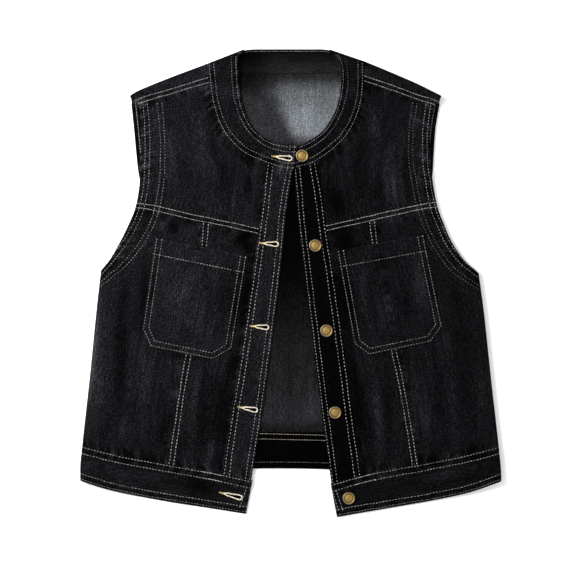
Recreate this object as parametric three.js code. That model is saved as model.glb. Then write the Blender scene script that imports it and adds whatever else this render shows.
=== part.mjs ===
// A round-necked denim vest laid flat on its back, in millimetres.
// +Y runs up the body to the neck, +X to the wearer's left, +Z up from the floor.
// Each piece is a wall of cloth: an outer grid of points and an inner one under it.
import * as THREE from "three";

// Cloth
const denim = 1.2; // one layer
const folded = 2.4; // neckband and waistbands, two layers and their turnings
const placketWall = 2.2;
const facingWall = 1.0;
const pocketWall = 1.4;
const seamGap = 0.3; // between two pieces where they are sewn
const restGap = 0.5; // between layers that lie on each other
// Seams
const seamWidth = 10; // a felled seam, edge to edge
const seamRise = 0.8; // how far its turnings lift the outer face
const rampWidth = 1.5; // each side of that rise
// Folds at the sides and shoulders
const sideAir = 5.6; // room inside a fold, between its two layers of one denim each
const foldSteps = 5; // facets round a half circle
// Bands
const neckSteps = { underlap: 1, placket: 3, yoke: 9, flap: 2, back: 8 };
const bodySteps = { side: 10, armhole: 4 };
const rollPastUnderarm = [0.85, 0.25]; // how far the side still rolls under, row by row

// Outlines of the right front (x < 0) and the left front (x > 0), one row for a point
const RIGHT = {
  side: -1,
  shoulderFold: [ // x, y, from the neckband to the tip
    [-108.5, 285], [-159.6, 265.8], [-201.2, 248.4], [-209, 243.3]],
  shoulderSeam: [ // x, y, from the neckband to the armhole
    [-106, 258.5], [-131, 251.2], [-157, 243], [-183, 235.6], [-196, 230.7]],
  frontArmhole: [ // x, y, from the shoulder seam to the underarm
    [-196, 230.7], [-194.4, 205], [-194.6, 184], [-195.6, 155], [-197, 124],
    [-202.5, 96], [-210.3, 77], [-220.4, 56], [-233, 35.3], [-246.5, 17.1]],
  backArmhole: [ // x, y, from the shoulder tip to the underarm
    [-208.6, 240], [-204.6, 202], [-199.6, 150], [-196, 124],
    [-201.5, 96], [-209.3, 77], [-219.4, 56], [-232, 35.3], [-241.7, 21]],
  sideFold: [ // x, y, from the underarm to the hem
    [-246.5, 17.1], [-252.6, -37.5], [-260.9, -120.7], [-270.8, -210.4], [-273.4, -237.7],
    [-273.3, -256.6]],
  yokeSeam: [ // x, y, from the armhole to the placket
    [-202.5, 96], [-183, 93.4], [-131, 81.5], [-85.5, 72.1], [-43, 62.4]],
  panelSeam: [ // x, y, from the waistband to the yoke
    [-162.2, -234.6], [-153.7, -178], [-145.9, -126], [-136.9, -74], [-118.4, 56],
    [-117, 78.6]],
  placketInner: [ // x, y, from the waistband to the neckband
    [-89.7, -247], [-81.6, -191], [-64.7, -87], [-52.1, -2.4], [-43, 62.4], [-38.5, 95],
    [-32, 153]],
  centreEdge: [ // x, y, from the waistband to the neckband
    [-51.2, -255.9], [-40.8, -191], [-26.3, -87], [-12.1, 30], [-5.7, 95], [2.6, 146.2]],
  waistTop: [ // x, y, from the side fold to the centre
    [-270.8, -210.4], [-228.5, -221.4], [-170, -232.8], [-105, -244.2], [-49.6, -256.3]],
  hem: [ // x, y, from the side fold to the centre
    [-273.3, -256.6], [-235, -268.6], [-193.4, -277.7], [-151.8, -285.2], [-110.2, -291.6],
    [-58.2, -299.8]],
  neckOuter: [ // x, y, from the centre to the shoulder fold
    [4.2, 147.2], [-8.3, 148], [-37.8, 157], [-64.4, 170.5], [-86.5, 194], [-101, 227.7],
    [-106, 258.5], [-108.5, 285]],
  neckInner: [ // x, y, from the centre to the shoulder fold
    [7.6, 178.8], [-8.3, 179.4], [-29, 186.1], [-45.2, 198], [-57, 216], [-66, 246],
    [-68.3, 275], [-68, 294], [-60.8, 303.6]],
  pocket: [ // x, y, outline from the outer top corner, round the bottom, to the inner one
    [-175.9, 58.7], [-193.4, -59.6], [-183, -82.4], [-101.1, -99.3], [-77.1, -85],
    [-57.6, 34.6]],
};
const LEFT = {
  side: 1,
  shoulderFold: [ // x, y, from the neckband to the tip
    [95.4, 288], [121.2, 277.5], [162.8, 259.5], [188.6, 246.8], [195.7, 243.3]],
  shoulderSeam: [ // x, y, from the neckband to the armhole
    [95.5, 260.2], [103, 257.7], [129, 249.1], [155, 239.4], [184.8, 229.4]],
  frontArmhole: [ // x, y, from the shoulder seam to the underarm
    [184.8, 229.4], [181.6, 205], [181, 181], [181.7, 160], [185.2, 126.3], [191.2, 97],
    [198.6, 77], [207.6, 56.1], [220.3, 36.5], [244.1, 13.2]],
  backArmhole: [ // x, y, from the shoulder tip to the underarm
    [195.4, 240], [188.8, 201.7], [185.4, 150], [184.4, 126.3], [190.2, 97], [197.6, 77],
    [206.6, 56.1], [219.3, 36.5], [238.9, 18]],
  sideFold: [ // x, y, from the underarm to the hem
    [244.1, 13.2], [250.8, -37.5], [259.7, -120.7], [269.8, -210.4], [273.2, -245.5],
    [273.5, -257]],
  yokeSeam: [ // x, y, from the armhole to the placket
    [191.2, 97], [178.4, 95.5], [129, 85], [77, 73.1], [46.8, 66.2]],
  panelSeam: [ // x, y, from the waistband to the yoke
    [166, -234.4], [156.9, -178], [147.6, -126], [136.1, -74], [113.1, 60], [110.8, 80.7]],
  placketInner: [ // x, y, from the waistband to the neckband
    [91.3, -248.8], [83.1, -191], [69.4, -87], [54.9, 17], [46.8, 66.2], [41.5, 108],
    [34.1, 152.6]],
  centreEdge: [ // x, y, from the waistband to the neckband
    [52.6, -259.6], [43.2, -191], [29.9, -87], [17.4, 17], [10.1, 75.6], [4.2, 146]],
  waistTop: [ // x, y, from the side fold to the centre
    [269.8, -210.4], [233, -220.8], [168, -234], [103, -246.4], [51.6, -260.6]],
  hem: [ // x, y, from the side fold to the centre
    [273.5, -257], [233, -271.5], [191.4, -281], [149.8, -288.5], [108.2, -295.6],
    [59.8, -304]],
  neckOuter: [ // x, y, from the centre to the shoulder fold
    [-4, 149.6], [4, 148.2], [29.9, 155.4], [50.6, 168.7], [72.7, 189.3], [87.4, 216],
    [94.4, 245], [95.5, 260.2], [95.4, 288]],
  neckInner: [ // x, y, from the centre to the shoulder fold
    [-5, 176.6], [9.4, 178], [21.1, 183.5], [38.7, 195.2], [52.3, 213], [61, 233.5],
    [65.3, 258], [65.3, 272], [62.4, 288], [50.4, 303.4]],
  pocket: [ // x, y, outline from the outer top corner, round the bottom, to the inner one
    [172.5, 62.6], [196.6, -55.7], [181.9, -76.5], [101.3, -93.4], [82.2, -79.1],
    [60.1, 41.8]],
};
const FRONTS = [RIGHT, LEFT];

// The back's waistband shows in the front gap; its ends stop inside the side folds
const BACK_BAND = {
  top: [[-266, -212], [-183, -205.2], [-60, -194.2], [0, -193.6], [60, -194.4], [183, -205.2],
    [265.4, -212]], // x, y
  hem: [[-268, -256], [-183, -248.4], [-60, -241.4], [0, -240.8], [60, -242.4], [183, -249.4],
    [268.2, -256]], // x, y
};
const BACK_NECK = {
  edge: [[-59, 299.4], [-50, 302.8], [-25, 304], [20, 304], [43, 303.4], [50, 299.6]], // x, y
  seam: [[-106.6, 280.8], [-75, 274.5], [-30, 272], [20, 272], [65, 275], [93.6, 284]], // x, y
};

// Soft ridges that lift the fronts: both ends, half width and height
const FOLDS = [
  { from: [-176, 205], to: [-168, 118], width: 11, height: 1.3 },
  { from: [-128, 225], to: [-118, 120], width: 14, height: 1.0 },
  { from: [-72, 150], to: [-66, 88], width: 10, height: 0.9 },
  { from: [-228, -20], to: [-236, -190], width: 15, height: 1.5 },
  { from: [-182, -100], to: [-196, -214], width: 12, height: 1.3 },
  { from: [-122, -110], to: [-128, -224], width: 11, height: 1.2 },
  { from: [-96, -118], to: [-104, -232], width: 8, height: 1.0 },
  { from: [124, 190], to: [132, 112], width: 12, height: 1.4 },
  { from: [84, 196], to: [70, 110], width: 13, height: 1.0 },
  { from: [160, 215], to: [158, 130], width: 9, height: 1.1 },
  { from: [112, -112], to: [122, -226], width: 12, height: 1.4 },
  { from: [178, -96], to: [192, -214], width: 13, height: 1.3 },
  { from: [226, -10], to: [238, -196], width: 16, height: 1.6 },
  { from: [92, -140], to: [104, -236], width: 7, height: 0.9 },
];
const BUTTONS = [ // x, y of the centre, and the wall that it is fixed through
  { x: 14.6, y: 165.3, wall: folded },
  { x: 31.7, y: 48.8, wall: placketWall },
  { x: 46.3, y: -61.7, wall: placketWall },
  { x: 57.5, y: -167.9, wall: placketWall },
  { x: 75.3, y: -279.2, wall: folded },
];
const button = { radius: 8, rim: 1.5, dome: 2, shank: 3.2, lift: 1.2, edge: 0.6 };
const rimRing = { top: 7.5, valley: 5.8, domeFoot: 4.6, valleyDepth: 0.4 }; // radii, then a depth

// Colours
const cloth = (shade) => new THREE.MeshStandardMaterial({ color: shade, roughness: 0.9 });
const blackDenim = cloth(0x17171c);
const bandDenim = cloth(0x1b1b20);
const brass = new THREE.MeshStandardMaterial({ color: 0x8c764b, roughness: 0.4, metalness: 0.9 });

// Plane curves through a table's points, measured along their length
const curveSamples = 240;
const searchSteps = 400; // stops tried for the nearest point on a curve
const smooth = (rows) => {
  const curve = new THREE.CatmullRomCurve3(
    rows.map(([x, y]) => new THREE.Vector3(x, y, 0)), false, "centripetal");
  curve.arcLengthDivisions = curveSamples;
  return curve;
};
const spread = (count) => Array.from({ length: count + 1 }, (_, k) => k / count);
const along = (curve, from, to, count) =>
  spread(count).map((f) => curve.getPointAt(from + (to - from) * f));
// The same, with two early points where a felled seam's rise ends
const ridgedRun = (curve, from, to, count) => {
  const length = curve.getLength() * Math.abs(to - from);
  const first = [0, seamWidth - rampWidth, seamWidth].map((d) => d / length);
  const rest = spread(count - 2).slice(1);
  const stops = [...first, ...rest.map((f) => first[2] + (1 - first[2]) * f)];
  return stops.map((f) => curve.getPointAt(from + (to - from) * f));
};
const join = (...runs) => runs.flatMap((run, k) => (k ? run.slice(1) : run));
const nearestOn = (curve, point) => {
  let best = { gap: Infinity, at: 0 };
  for (const f of spread(searchSteps)) {
    const gap = curve.getPointAt(f).distanceTo(point);
    if (gap < best.gap) best = { gap, at: f };
  }
  return best.at;
};
const smoothStep = (low, high, value) => THREE.MathUtils.smoothstep(value, low, high);

// How far a point is from a run of points, and how far along it the foot lies (0 to 1)
const distanceTo = (run, x, y) => {
  let best = { gap: Infinity, at: 0 };
  for (let k = 0; k + 1 < run.length; k += 1) {
    const ux = run[k + 1].x - run[k].x;
    const uy = run[k + 1].y - run[k].y;
    const length2 = ux * ux + uy * uy;
    const f = THREE.MathUtils.clamp(((x - run[k].x) * ux + (y - run[k].y) * uy) / length2, 0, 1);
    const gap = Math.hypot(x - run[k].x - f * ux, y - run[k].y - f * uy);
    if (gap < best.gap) best = { gap, at: (k + f) / (run.length - 1) };
  }
  return best;
};

const curves = new Map(FRONTS.map((front) => [front, Object.fromEntries(
  Object.entries(front).filter(([key]) => key !== "side" && key !== "pocket")
    .map(([key, rows]) => [key, smooth(rows)]))]));
const backBand = { top: smooth(BACK_BAND.top), hem: smooth(BACK_BAND.hem) };
const backNeck = { edge: smooth(BACK_NECK.edge), seam: smooth(BACK_NECK.seam) };
const runSteps = { fold: 8, shoulder: 6, armhole: 16, panelSeam: 10, yokeSeam: 8, band: 16 };
const runs = FRONTS.map((front) => {
  const c = curves.get(front);
  return {
    fold: along(c.sideFold, 0, 1, runSteps.fold),
    shoulder: [c.neckInner.getPointAt(1), ...along(c.shoulderFold, 0, 1, runSteps.shoulder)],
    armhole: along(c.backArmhole, 0, 1, runSteps.armhole),
    panelSeam: along(c.panelSeam, 0, 1, runSteps.panelSeam),
    yokeSeam: along(c.yokeSeam, 0, 1, runSteps.yokeSeam),
  };
});
const bandTop = along(backBand.top, 0, 1, runSteps.band);
const bandHem = along(backBand.hem, 0, 1, runSteps.band);
const heightOn = (run, x) => { // the y of a run that goes from -x to +x
  const k = THREE.MathUtils.clamp(run.findIndex((p) => p.x > x), 1, run.length - 1);
  const f = THREE.MathUtils.clamp((x - run[k - 1].x) / (run[k].x - run[k - 1].x), 0, 1);
  return THREE.MathUtils.lerp(run[k - 1].y, run[k].y, f);
};

// What the fronts lie on: the back, its waistband and facings, and the floor past its hem
const facingWidth = 14;
const facingEase = [1, 7]; // past its inner edge, where the cloth comes down off it
const bandStep = 24; // over which the cloth climbs onto the back waistband
const dropStart = 8; // past the back's hem, where it starts to come down
const dropLength = 26;
const ground = (x, y) => {
  const onBand = smoothStep(0, bandStep, heightOn(bandTop, x) + bandStep - y);
  const pastHem = smoothStep(dropStart, dropStart + dropLength, heightOn(bandHem, x) - y);
  const facing = Math.min(...runs.map((run) => distanceTo(run.armhole, x, y).gap));
  const onFacing = 1 - smoothStep(facingWidth + facingEase[0], facingWidth + facingEase[1], facing);
  const layers = denim + (folded - denim) * onBand + (facingWall + seamGap) * onFacing;
  return layers * (1 - pastHem);
};
const ridgeEnd = 0.08; // a soft ridge keeps a little height at its ends
const foldLift = (x, y) => FOLDS.reduce((sum, fold) => {
  const run = [fold.from, fold.to].map((p) => new THREE.Vector2(...p));
  const { gap, at } = distanceTo(run, x, y);
  const ends = Math.sin(Math.PI * THREE.MathUtils.clamp(at, ridgeEnd, 1 - ridgeEnd));
  return sum + fold.height * ends * Math.exp(-((gap / fold.width) ** 2));
}, 0);

// The height of the fronts' underside: full at the folds, easing down onto the back
const sideReach = 34;
const shoulderReach = 28;
const easePower = 1.3; // how roundly it comes down from a fold
const foldRadius = (wall) => (denim + sideAir + wall) / 2;
const under = (x, y) => {
  const rest = ground(x, y) + restGap;
  const near = (run, reach) => Math.exp(
    -((Math.max(0, distanceTo(run, x, y).gap - foldRadius(denim)) / reach) ** easePower));
  const held = Math.max(...runs.flatMap((run) => [
    near(run.fold, sideReach), near(run.shoulder, shoulderReach)]));
  const full = denim + sideAir;
  return rest + (full - rest) * held + foldLift(x, y) * (1 - held);
};

// A felled seam's rise, on the piece that laps over
const seamLift = (gap) => seamRise * smoothStep(0, rampWidth, seamWidth - gap);

// A closed wall from two grids; present says which cells are cloth
const wallMesh = (name, material, outer, inner, present = () => true) => {
  const columns = outer.length - 1;
  const rows = outer[0].length - 1;
  const cell = (i, j) => i >= 0 && j >= 0 && i < columns && j < rows && present(i, j);
  const positions = [];
  const index = new Map();
  const vertex = (layer, i, j) => {
    const key = `${layer}/${i}/${j}`;
    if (!index.has(key)) {
      index.set(key, positions.length / 3);
      positions.push(...(layer ? inner : outer)[i][j].toArray());
    }
    return index.get(key);
  };
  const faces = [];
  const quad = (a, b, c, d) => faces.push(a, b, c, a, c, d);
  for (let i = 0; i < columns; i += 1) {
    for (let j = 0; j < rows; j += 1) {
      if (!cell(i, j)) continue;
      const corners = [[i, j], [i + 1, j], [i + 1, j + 1], [i, j + 1]];
      const neighbours = [[i, j - 1], [i + 1, j], [i, j + 1], [i - 1, j]];
      quad(...corners.map(([a, b]) => vertex(0, a, b)));
      quad(...corners.map(([a, b]) => vertex(1, a, b)).reverse());
      neighbours.forEach(([a, b], k) => {
        if (cell(a, b)) return;
        const p = corners[k];
        const q = corners[(k + 1) % 4];
        quad(vertex(0, ...q), vertex(0, ...p), vertex(1, ...p), vertex(1, ...q));
      });
    }
  }
  const at = (k) => new THREE.Vector3().fromArray(positions, 3 * k);
  let volume = 0;
  for (let k = 0; k < faces.length; k += 3) {
    volume += at(faces[k]).dot(at(faces[k + 1]).cross(at(faces[k + 2])));
  }
  if (volume < 0) faces.reverse();
  const geometry = new THREE.BufferGeometry();
  geometry.setAttribute("position", new THREE.Float32BufferAttribute(positions, 3));
  geometry.setIndex(faces);
  geometry.computeVertexNormals();
  const mesh = new THREE.Mesh(geometry, material);
  mesh.name = name;
  return mesh;
};

// A plane grid between four sides, each cut back from its neighbours by half the seam's gap
const plan = ({ bottom, top, left, right }, cutBack = seamGap / 2) => {
  const columns = bottom.length - 1;
  const rows = left.length - 1;
  const pinned = (side, start, end) => side.map((p, k) => {
    const f = k / (side.length - 1);
    const atStart = start.clone().sub(side[0]).multiplyScalar(1 - f);
    const atEnd = end.clone().sub(side[side.length - 1]).multiplyScalar(f);
    return p.clone().add(atStart).add(atEnd);
  });
  const west = pinned(left, bottom[0], top[0]);
  const east = pinned(right, bottom[columns], top[columns]);
  const across = (p, q, f) => p.clone().lerp(q, f);
  const grid = bottom.map((_, i) => west.map((_unused, j) => {
    const u = i / columns;
    const v = j / rows;
    const upright = across(bottom[i], top[i], v);
    const level = across(west[j], east[j], u);
    const flat = across(
      across(bottom[0], bottom[columns], u), across(top[0], top[columns], u), v);
    return upright.add(level).sub(flat);
  }));
  const pull = (p, q) => p.add(q.clone().sub(p).setLength(cutBack));
  for (let i = 0; i <= columns; i += 1) {
    pull(grid[i][0], grid[i][1]);
    pull(grid[i][rows], grid[i][rows - 1]);
  }
  for (let j = 0; j <= rows; j += 1) {
    pull(grid[0][j], grid[1][j]);
    pull(grid[columns][j], grid[columns - 1][j]);
  }
  return grid;
};
const lifted = (grid, heightAt) => grid.map(
  (column) => column.map((p) => new THREE.Vector3(p.x, p.y, heightAt(p.x, p.y))));

// A piece that lies as the fronts do, its outer face a wall above their underside
const frontPiece = (name, material, sides, wall, riseAt = () => 0) => {
  const grid = plan(sides);
  const inner = lifted(grid, under);
  const outer = lifted(grid, (x, y) => under(x, y) + wall + riseAt(x, y));
  return wallMesh(name, material, outer, inner);
};

// Columns that roll round a side fold to the floor; roll says how far each row does
const rolled = (grid, wall, roll) => {
  const outerColumns = spread(foldSteps).map(() => []);
  const innerColumns = spread(foldSteps).map(() => []);
  grid[0].forEach((edge, j) => {
    const inward = grid[1][j].clone().sub(edge).setZ(0).normalize();
    const top = edge.clone().addScaledVector(inward, foldRadius(wall));
    const height = under(top.x, top.y) + wall;
    const radius = height / 2;
    spread(foldSteps).forEach((f, k) => {
      const turn = Math.PI * (f - 0.5);
      const round = (r) => new THREE.Vector3(0, 0, radius + r * Math.sin(turn))
        .add(edge).addScaledVector(inward, foldRadius(wall) - r * Math.cos(turn));
      const flatAt = edge.clone().addScaledVector(inward, foldRadius(wall) * f);
      const flatUnder = under(flatAt.x, flatAt.y);
      const outerFlat = flatAt.clone().setZ(flatUnder + wall);
      const innerFlat = flatAt.clone().setZ(flatUnder);
      outerColumns[k].push(outerFlat.lerp(round(radius), roll(j)));
      innerColumns[k].push(innerFlat.lerp(round(radius - wall), roll(j)));
    });
  });
  return { outerColumns, innerColumns };
};
const sidePiece = (name, material, sides, wall, roll) => {
  const grid = plan(sides);
  const { outerColumns, innerColumns } = rolled(grid, wall, roll);
  const rest = grid.slice(1);
  const inner = [...innerColumns, ...lifted(rest, under)];
  const outer = [...outerColumns, ...lifted(rest, (x, y) => under(x, y) + wall)];
  return wallMesh(name, material, outer, inner);
};

// The pieces of one front
const sideName = (front) => (front.side < 0 ? "right" : "left");
const corner = (front) => {
  const c = curves.get(front);
  const point = (key, end) => new THREE.Vector3(...front[key].at(end), 0);
  return {
    yokeAtPanel: nearestOn(c.yokeSeam, point("panelSeam", -1)),
    waistAtPanel: nearestOn(c.waistTop, point("panelSeam", 0)),
    waistAtPlacket: nearestOn(c.waistTop, point("placketInner", 0)),
    waistAtCentre: nearestOn(c.waistTop, point("centreEdge", 0)),
    placketAtYoke: nearestOn(c.placketInner, point("yokeSeam", -1)),
    armholeAtYoke: nearestOn(c.frontArmhole, point("yokeSeam", 0)),
    foldAtWaist: nearestOn(c.sideFold, point("waistTop", 0)),
    neckAtCentre: nearestOn(c.neckOuter, point("centreEdge", -1)),
    neckAtPlacket: nearestOn(c.neckOuter, point("placketInner", -1)),
    neckAtSeam: nearestOn(c.neckOuter, point("shoulderSeam", 0)),
  };
};
const panelColumns = { side: 6, centre: 5 };
const seamRun = (front) => runs[FRONTS.indexOf(front)];
const bodyRows = bodySteps.side + bodySteps.armhole;

const sidePanel = (front) => {
  const c = curves.get(front);
  const at = corner(front);
  const roll = (j) => (j < bodySteps.side ? 1 : rollPastUnderarm[j - bodySteps.side] ?? 0);
  return sidePiece(`front_side_${sideName(front)}`, blackDenim, {
    bottom: along(c.waistTop, 0, at.waistAtPanel, panelColumns.side),
    top: along(c.yokeSeam, 0, at.yokeAtPanel, panelColumns.side),
    left: join(along(c.sideFold, at.foldAtWaist, 0, bodySteps.side),
      along(c.frontArmhole, 1, at.armholeAtYoke, bodySteps.armhole)),
    right: along(c.panelSeam, 0, 1, bodyRows),
  }, denim, roll);
};
const pocketFade = 8; // inside the pocket's ends, over which the seam's rise goes
const pocketCover = (front, x, y) => { // 1 under the pocket, where the seam lies flatter
  const rows = front.pocket.map((p) => p[1]);
  return smoothStep(0, pocketFade, y - Math.min(...rows) - pocketFade)
    * smoothStep(0, pocketFade, Math.max(...rows) - pocketFade - y);
};
const panelRise = (front) => (x, y) =>
  seamLift(distanceTo(seamRun(front).panelSeam, x, y).gap) * (1 - pocketCover(front, x, y));
const centrePanel = (front) => {
  const c = curves.get(front);
  const at = corner(front);
  return frontPiece(`front_centre_${sideName(front)}`, blackDenim, {
    bottom: ridgedRun(c.waistTop, at.waistAtPanel, at.waistAtPlacket, panelColumns.centre),
    top: ridgedRun(c.yokeSeam, at.yokeAtPanel, 1, panelColumns.centre),
    left: along(c.panelSeam, 0, 1, bodyRows),
    right: along(c.placketInner, 0, at.placketAtYoke, bodyRows),
  }, denim, panelRise(front));
};
const yokeRows = { placket: 5, neck: neckSteps.yoke };
const yokeColumns = 10;
const yoke = (front) => {
  const c = curves.get(front);
  const at = corner(front);
  const placketSide = ridgedRun(c.placketInner, at.placketAtYoke, 1, yokeRows.placket);
  return frontPiece(`front_yoke_${sideName(front)}`, blackDenim, {
    bottom: along(c.yokeSeam, 0, 1, yokeColumns),
    top: along(c.shoulderSeam, 1, 0, yokeColumns),
    left: ridgedRun(c.frontArmhole, at.armholeAtYoke, 0, yokeRows.placket + yokeRows.neck),
    right: join(placketSide, along(c.neckOuter, at.neckAtPlacket, at.neckAtSeam, yokeRows.neck)),
  }, denim, (x, y) => seamLift(distanceTo(seamRun(front).yokeSeam, x, y).gap));
};
const placketColumns = 3;
const placket = (front) => {
  const c = curves.get(front);
  const at = corner(front);
  return frontPiece(`placket_${sideName(front)}`, bandDenim, {
    bottom: along(c.waistTop, at.waistAtPlacket, at.waistAtCentre, placketColumns),
    top: along(c.neckOuter, at.neckAtPlacket, at.neckAtCentre, placketColumns),
    left: join(along(c.placketInner, 0, at.placketAtYoke, bodyRows),
      ridgedRun(c.placketInner, at.placketAtYoke, 1, yokeRows.placket)),
    right: along(c.centreEdge, 0, 1, bodyRows + yokeRows.placket),
  }, placketWall);
};
const waistColumns = 16;
const waistRows = 3;
const waistband = (front) => {
  const c = curves.get(front);
  const at = corner(front);
  const end = [c.hem.getPointAt(1), c.waistTop.getPointAt(1)];
  return sidePiece(`front_waistband_${sideName(front)}`, bandDenim, {
    bottom: along(c.hem, 0, 1, waistColumns),
    top: along(c.waistTop, 0, 1, waistColumns),
    left: along(c.sideFold, 1, at.foldAtWaist, waistRows),
    right: spread(waistRows).map((f) => end[0].clone().lerp(end[1], f)),
  }, folded, () => 1);
};

// A patch pocket lies on both panels, over the seam between them
const pocketGrid = { columns: 5, rows: 7 };
const pocketHem = 21;
const pocketHemRise = 0.6;
const pocketGape = 1.0; // how far the middle of the opening stands off
const panelTop = (front, x, y) => under(x, y) + denim + panelRise(front)(x, y);
const bedReach = 6;
const pocketBed = (front, x, y) => { // the highest cloth close to a point
  const reach = [-bedReach, 0, bedReach];
  const around = reach.flatMap((dx) => reach.map((dy) => [dx, dy]));
  return Math.max(...around.map(([dx, dy]) => panelTop(front, x + dx, y + dy)));
};
const pocket = (front) => {
  const [outerTop, outerLow, cutOuter, cutInner, innerLow, innerTop] =
    front.pocket.map(([x, y]) => new THREE.Vector3(x, y, 0));
  const straight = (p, q, count) => spread(count).map((f) => p.clone().lerp(q, f));
  const sides = {
    bottom: join([outerLow, cutOuter], straight(cutOuter, cutInner, pocketGrid.columns),
      [cutInner, innerLow]),
    top: straight(outerTop, innerTop, pocketGrid.columns + 2),
    left: straight(outerLow, outerTop, pocketGrid.rows),
    right: straight(innerLow, innerTop, pocketGrid.rows),
  };
  const grid = plan(sides, 0);
  const topEdge = [outerTop, innerTop];
  const opening = (x, y) => {
    const { gap, at } = distanceTo(topEdge, x, y);
    return { gap, middle: Math.sin(Math.PI * THREE.MathUtils.clamp(at, 0, 1)) };
  };
  const innerAt = (x, y) => {
    const { gap, middle } = opening(x, y);
    return pocketBed(front, x, y) + seamGap + pocketGape * middle * Math.exp(-gap / pocketHem);
  };
  const outerAt = (x, y) => innerAt(x, y) + pocketWall
    + pocketHemRise * (1 - smoothStep(pocketHem - rampWidth, pocketHem, opening(x, y).gap));
  return wallMesh(
    `pocket_${sideName(front)}`, bandDenim, lifted(grid, outerAt), lifted(grid, innerAt));
};

// The back lies flat and turns over each shoulder to the forward seam
const backInset = 4.8; // its sides stop under the front's side roll
const shoulderColumns = 5;
const neckColumns = neckSteps.back;
const backArmholeSteps = 9;
const flapRows = 2;
const foldFrame = (front, from, to) => { // a fold's outline as start, end and outward way
  const way = to.clone().sub(from).normalize();
  return new THREE.Vector3(-way.y, way.x, 0).multiplyScalar(Math.sign(way.x));
};
const overFold = (edge, outward, wall) => { // the points of both faces round a half circle
  const radius = foldRadius(wall);
  const centre = edge.clone().addScaledVector(outward, -radius).setZ(radius);
  return spread(foldSteps).map((f) => {
    const turn = Math.PI * (f - 0.5);
    const ring = (r) => centre.clone().addScaledVector(outward, r * Math.cos(turn))
      .add(new THREE.Vector3(0, 0, r * Math.sin(turn)));
    return { outer: ring(radius), inner: ring(radius - wall) };
  });
};
const backPanel = () => {
  const half = FRONTS.map((front) => {
    const c = curves.get(front);
    const at = corner(front);
    const outline = along(c.shoulderFold, 0, 1, shoulderColumns);
    const outward = foldFrame(front, outline[0], outline.at(-1));
    const inset = new THREE.Vector3(front.side * backInset, 0, 0);
    return {
      front,
      outline,
      outward,
      fold: outline.map((p) => overFold(p, outward, denim)),
      seam: along(c.shoulderSeam, 0, 1, shoulderColumns),
      neckSide: along(c.neckOuter, 1, at.neckAtSeam, flapRows),
      side: along(c.sideFold, at.foldAtWaist, 0, bodySteps.side / 2)
        .map((p) => p.clone().sub(inset)),
      armhole: along(c.backArmhole, 1, 0, backArmholeSteps),
    };
  });
  const [right, left] = half;
  const clear = new THREE.Vector3(0, -2 * seamGap, 0); // below the neckband's lower edge
  const axis = (side) => side.fold.map((ring, k) => {
    const point = ring[0].outer.clone().setZ(0);
    return k ? point : point.add(clear);
  });
  const neck = along(backNeck.seam, 0, 1, neckColumns).map((p) => p.add(clear));
  const top = join(axis(right).reverse(), neck, axis(left));
  const count = top.length - 1;
  const flankRun = (side) => join(side.side, side.armhole);
  const grid = plan({
    bottom: along(backBand.top, 0, 1, count),
    top,
    left: flankRun(right),
    right: flankRun(left),
  });
  const outer = grid.map((column) => column.map((p) => p.clone().setZ(0)));
  const inner = grid.map((column) => column.map((p) => p.clone().setZ(denim)));
  const flatRows = grid[0].length - 1;
  const topOf = (p) => p.clone().setZ(under(p.x, p.y) + denim);
  grid.forEach((column, i) => {
    const side = i <= shoulderColumns ? right : left;
    const k = i <= shoulderColumns ? shoulderColumns - i : i - shoulderColumns - neckColumns;
    const onShoulder = k >= 0 && k <= shoulderColumns;
    for (let step = 1; step <= foldSteps + flapRows; step += 1) {
      let points = { outer: outer[i][flatRows], inner: inner[i][flatRows] };
      if (onShoulder && step <= foldSteps) points = side.fold[k][step];
      if (onShoulder && step > foldSteps) {
        const f = (step - foldSteps) / flapRows;
        const between = (p, q) => p.clone().lerp(q, f).setZ(0);
        const flat = between(side.fold[k][foldSteps].outer, side.seam[k]);
        const straight = between(side.fold[0][foldSteps].outer, side.seam[0]);
        const bow = side.neckSide[step - foldSteps].clone().sub(straight);
        flat.addScaledVector(bow, 1 - k / shoulderColumns);
        points = { outer: topOf(flat), inner: topOf(flat).add(new THREE.Vector3(0, 0, -denim)) };
      }
      outer[i].push(points.outer.clone());
      inner[i].push(points.inner.clone());
    }
  });
  cutBackFlaps(outer, inner, flatRows);
  const present = (i, j) => j < flatRows || i < shoulderColumns
    || i >= shoulderColumns + neckColumns;
  return wallMesh("back_panel", blackDenim, outer, inner, present);
};
// The flaps' free edges keep the seam's gap to the neckband and the yokes
const cutBackFlaps = (outer, inner, flatRows) => {
  const last = outer[0].length - 1;
  const neckSides = [[shoulderColumns, shoulderColumns - 1],
    [shoulderColumns + neckColumns, shoulderColumns + neckColumns + 1]];
  for (const layer of [outer, inner]) {
    for (const [edge, next] of neckSides) {
      for (let j = flatRows + 1; j <= last; j += 1) {
        const way = layer[next][j].clone().sub(layer[edge][j]).setLength(2 * seamGap);
        layer[edge][j].add(way);
      }
    }
    layer.forEach((column) => {
      const way = column[last - 1].clone().sub(column[last]);
      if (way.length() > 1) column[last].add(way.setZ(0).setLength(seamGap / 2));
    });
  }
};
const backBandColumns = 12;
const backWaistband = () => {
  const ends = [0, 1].map((f) => [backBand.hem.getPointAt(f), backBand.top.getPointAt(f)]);
  const grid = plan({
    bottom: along(backBand.hem, 0, 1, backBandColumns),
    top: along(backBand.top, 0, 1, backBandColumns),
    left: ends[0],
    right: ends[1],
  });
  return wallMesh("back_waistband", bandDenim, lifted(grid, () => 0), lifted(grid, () => folded));
};

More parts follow.
